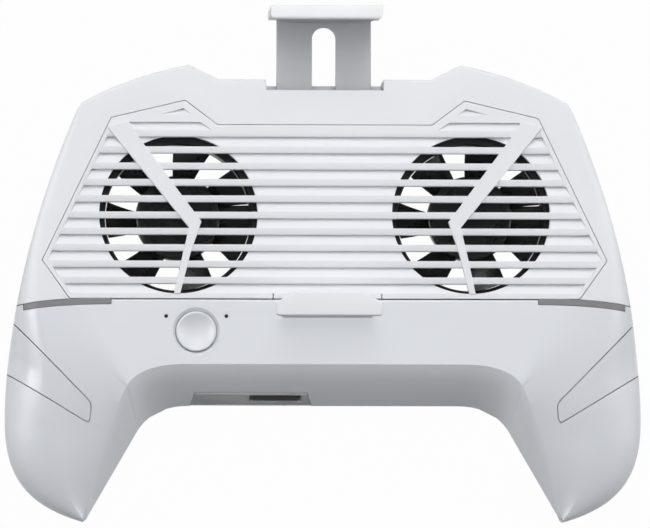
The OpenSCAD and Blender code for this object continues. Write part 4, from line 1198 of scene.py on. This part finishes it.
def fan_bore():
    """Cutter for the bore that the blades turn in, flared at its mouth."""
    mouth_r = BORE_R + MOUTH_FLARE
    profile = [
        (0, FAN_LOW_Z - PAST), (BORE_R, FAN_LOW_Z - PAST), (BORE_R, FAN_TOP_Z - 2 * MOUTH_FLARE),
        (BORE_R + MOUTH_FLARE / 4, FAN_TOP_Z - MOUTH_FLARE), (mouth_r, FAN_TOP_Z),
        (mouth_r, FAN_TOP_Z + PAST), (0, FAN_TOP_Z + PAST),
    ]
    return turned("bore", profile, flat(0, 0), BORE_STEPS)


def make_fan_frame(side, name):
    """Square frame with a flared bore, a motor plate and three struts, one of them wide for the lead."""
    half = FAN_SIZE / 2
    square = filleted(rectangle(-half, -half, half, half), FAN_CORNER_R)
    fan_frame = slab(name + "_square_frame", square, rounding(FAN_LOW_Z, FAN_TOP_Z, FAN_EDGE_R, steps=3))
    cut(fan_frame, fan_bore(), *[screw_hole(x, y) for x in SIDES for y in SIDES])
    joined(fan_frame, *[strut(turn, width) for turn, width in STRUT_TURNS])
    plate_top = FAN_LOW_Z + MOTOR_PLATE_T
    cut(fan_frame, rod("motor_well", MOTOR_PLATE_R, plate_top, FAN_LOW_Z + MOTOR_WELL_TOP, flat(0, 0)))
    stand_low = FAN_LOW_Z + STAND_FLOOR
    stand_top = FAN_TOP_Z - STAND_BELOW_TOP
    stand = [
        (0, stand_low), (STAND_BORE_R, stand_low), (STAND_BORE_R, stand_top), (STAND_R, stand_top),
        (STAND_R, plate_top), (MOTOR_PLATE_R, plate_top), (MOTOR_PLATE_R, FAN_LOW_Z), (0, FAN_LOW_Z),
    ]
    joined(fan_frame, turned("motor_plate", stand, flat(0, 0)))
    fan_frame.data.transform(Matrix.Translation(Vector((side * FAN_X, FAN_Y, 0)) * MM))
    return placed(smoothed(fan_frame, angle=30), "housing", "fan_black", fan_black, name + "_fan_frame")


# Finish of the solids that stay


def smooth_group():
    """Modifier group that smooths every edge flatter than the angle for smooth shading."""
    group = bpy.data.node_groups.new("smooth_by_angle", "GeometryNodeTree")
    for way in ("INPUT", "OUTPUT"):
        group.interface.new_socket("Geometry", in_out=way, socket_type="NodeSocketGeometry")
    entry = group.nodes.new("NodeGroupInput")
    leave = group.nodes.new("NodeGroupOutput")
    faces = group.nodes.new("GeometryNodeSetShadeSmooth")
    edges = group.nodes.new("GeometryNodeSetShadeSmooth")
    edges.domain = "EDGE"
    bend = group.nodes.new("GeometryNodeInputMeshEdgeAngle")
    compare = group.nodes.new("FunctionNodeCompare")
    compare.operation = "LESS_THAN"
    compare.inputs["B"].default_value = math.radians(SMOOTH_ANGLE)
    group.links.new(entry.outputs[0], faces.inputs["Geometry"])
    group.links.new(faces.outputs["Geometry"], edges.inputs["Geometry"])
    group.links.new(bend.outputs["Unsigned Angle"], compare.inputs["A"])
    group.links.new(compare.outputs["Result"], edges.inputs["Shade Smooth"])
    group.links.new(edges.outputs["Geometry"], leave.inputs[0])
    return group


def finished_node(name, finish, edge, shading):
    """Rounds a solid's edges, smooths its curved faces and gives it its finish, with its mesh as it is."""
    node = nodes[name]
    weld = node.modifiers.new("weld", "WELD")
    weld.merge_threshold = WELD_GAP * MM
    flatten = node.modifiers.new("flat_faces", "DECIMATE")
    flatten.decimate_type = "DISSOLVE"
    flatten.angle_limit = math.radians(FLAT_ANGLE)
    if edge:
        bevel = node.modifiers.new("edges", "BEVEL")
        bevel.width = edge * MM
        bevel.segments = 2
        bevel.limit_method = "ANGLE"
        bevel.angle_limit = math.radians(EDGE_ANGLE)
    shade = node.modifiers.new("shade", "NODES")
    shade.node_group = shading
    node.data.materials.clear()
    node.data.materials.append(finish.material)


def finish_nodes():
    """Finishes every solid that stays. The last number of each row is the radius of its edges."""
    rows = [
        ("rear_shell", shell_white, 0),
        ("port_plate", port_white, 0.1),
        ("clamp_guide", shell_white, 0.15),
        # The port's near-black is partly painted shade for the inside of its mouth.
        ("usb_port", port_dark_and_painted_shade, 0.05),
        ("led_light_pipes", light_pipe, 0.05),
        ("control_board", board_green, 0.05),
        ("button_switch", fan_black, 0.1),
        ("battery", cell_silver, 0.3),
        ("clamp_guide_pin", steel, 0.1),
        ("clamp_friction_spring", steel, 0),
        ("battery_lead", lead_red, 0),
    ]
    rows += [(name + "_screws", steel, 0.08) for name in ("fan", "case", "board", "guide")]
    for _, name in SIDE_NAMES:
        rows += [
            (name + "_fan_stator", copper, 0.1),
            (name + "_fan_bearing", brass, 0.05),
            (name + "_fan_shaft", steel, 0.05),
            (name + "_fan_magnet", magnet_dark, 0.05),
            (name + "_fan_lead", lead_black, 0),
        ]
    shading = smooth_group()
    for row in rows:
        finished_node(*row, shading)


# Floor, light and camera


def math_node(tree, operation, *sources):
    """Node that works out one value from others."""
    made = tree.nodes.new("ShaderNodeMath")
    made.operation = operation
    for source, target in zip(sources, made.inputs):
        tree.links.new(source, target)
    return made


def make_floor():
    """Pale floor that stays white behind the object and keeps a faint shadow of it."""
    floor = box("floor", (-FLOOR_HALF, -FLOOR_HALF, FLOOR_LOW_Z), (FLOOR_HALF, FLOOR_HALF, FLOOR_TOP_Z))
    material = bpy.data.materials.new("floor_white")
    material.use_nodes = True
    tree = material.node_tree
    surface = tree.nodes["Principled BSDF"]
    surface.inputs["Base Color"].default_value = FLOOR_COLOUR
    surface.inputs["Roughness"].default_value = FLOOR_ROUGHNESS
    glow = tree.nodes.new("ShaderNodeEmission")
    path = tree.nodes.new("ShaderNodeLightPath")
    seen = math_node(tree, "MAXIMUM", path.outputs["Is Camera Ray"], path.outputs["Is Glossy Ray"])
    either = math_node(tree, "MAXIMUM", seen.outputs[0], path.outputs["Is Transmission Ray"])
    share = math_node(tree, "MULTIPLY", either.outputs[0])
    share.inputs[1].default_value = FLOOR_GLOW
    blend = tree.nodes.new("ShaderNodeMixShader")
    tree.links.new(share.outputs[0], blend.inputs["Fac"])
    tree.links.new(surface.outputs[0], blend.inputs[1])
    tree.links.new(glow.outputs[0], blend.inputs[2])
    tree.links.new(blend.outputs[0], tree.nodes["Material Output"].inputs["Surface"])
    floor.data.materials.append(material)


def make_studio():
    """Surroundings that are brighter above the object than below it."""
    world = bpy.data.worlds.new("studio")
    world.use_nodes = True
    tree = world.node_tree
    background = tree.nodes["Background"]
    way = tree.nodes.new("ShaderNodeTexCoord")
    part = tree.nodes.new("ShaderNodeSeparateXYZ")
    rise = tree.nodes.new("ShaderNodeMapRange")
    rise.inputs["From Min"].default_value = -STUDIO_SPREAD
    rise.inputs["From Max"].default_value = STUDIO_SPREAD
    rise.inputs["To Min"].default_value = STUDIO_LOW
    rise.inputs["To Max"].default_value = STUDIO_HIGH
    tree.links.new(way.outputs["Generated"], part.inputs["Vector"])
    tree.links.new(part.outputs["Y"], rise.inputs["Value"])
    tree.links.new(rise.outputs["Result"], background.inputs["Strength"])
    background.inputs["Color"].default_value = STUDIO_COLOUR
    bpy.context.scene.world = world


def soft_light(name, place, size, power, lit=True, mirrored=True):
    """Rectangular lamp that faces the middle of the front, and may be left out of light or reflections."""
    lamp = bpy.data.lights.new(name, "AREA")
    lamp.shape = "RECTANGLE"
    lamp.size = size[0] * MM
    lamp.size_y = size[1] * MM
    lamp.energy = power
    holder = bpy.data.objects.new(name, lamp)
    holder.location = Vector(place) * MM
    way = Vector((0, 0, FRONT_Z)) - Vector(place)
    holder.rotation_euler = way.to_track_quat("-Z", "Y").to_euler()
    holder.visible_diffuse = lit
    holder.visible_glossy = mirrored
    bpy.context.scene.collection.objects.link(holder)


def make_lamps():
    """Lamps in front, above and at both sides. The two streaks only show as reflections."""
    soft_light("key_front", (0, 0, 1500), (900, 900), 6.2, mirrored=False)
    soft_light("key_raised", (0, 650, 1350), (1000, 600), 6)
    soft_light("key_above", (0, 1150, 960), (1100, 700), 9, mirrored=False)
    soft_light("fill_left", (-1450, 0, 330), (600, 1000), 8.5, mirrored=False)
    soft_light("fill_right", (1450, 0, 330), (600, 1000), 8, mirrored=False)
    soft_light("streak_left", (-1060, 120, 930), (760, 620), 10, lit=False)
    soft_light("streak_right", (1060, 220, 930), (760, 600), 6, lit=False)


def make_camera():
    """Long lens that looks almost straight at the front, from slightly left of and below the middle."""
    distance = 2500
    view_width = 178.75
    target = Vector((0, -0.41, FRONT_Z))
    left = math.radians(2.4)
    below = math.radians(3.2)
    back = Vector((-math.tan(left), -math.tan(below), 1)).normalized()
    right = Vector((0, 1, 0)).cross(back).normalized()
    up = back.cross(right)
    lens = bpy.data.cameras.new("camera")
    lens.sensor_width = 36
    lens.lens = lens.sensor_width * distance / view_width
    lens.clip_start = 0.01
    camera = bpy.data.objects.new("camera", lens)
    turn = Matrix((right, up, back)).transposed().to_4x4()
    camera.matrix_world = Matrix.Translation((target + back * distance) * MM) @ turn
    bpy.context.scene.collection.objects.link(camera)
    bpy.context.scene.camera = camera


# Everything put together

front = front_skin()
make_bezel(front)
make_lower_shell(front)
bpy.data.meshes.remove(front.data)
make_panel()
for side, name in SIDE_NAMES:
    make_trim(side, name)
    make_inlay(side, name)
make_clamp()
make_lower_jaw()
make_pad("upper_jaw_pad", "clamp", 1)
make_pad("lower_jaw_pad", "housing", -1).visible_shadow = False
make_button()
make_impellers()
for side, name in SIDE_NAMES:
    make_fan_frame(side, name)
finish_nodes()
make_floor()
make_studio()
make_lamps()
make_camera()
bpy.context.scene.view_settings.view_transform = "Standard"
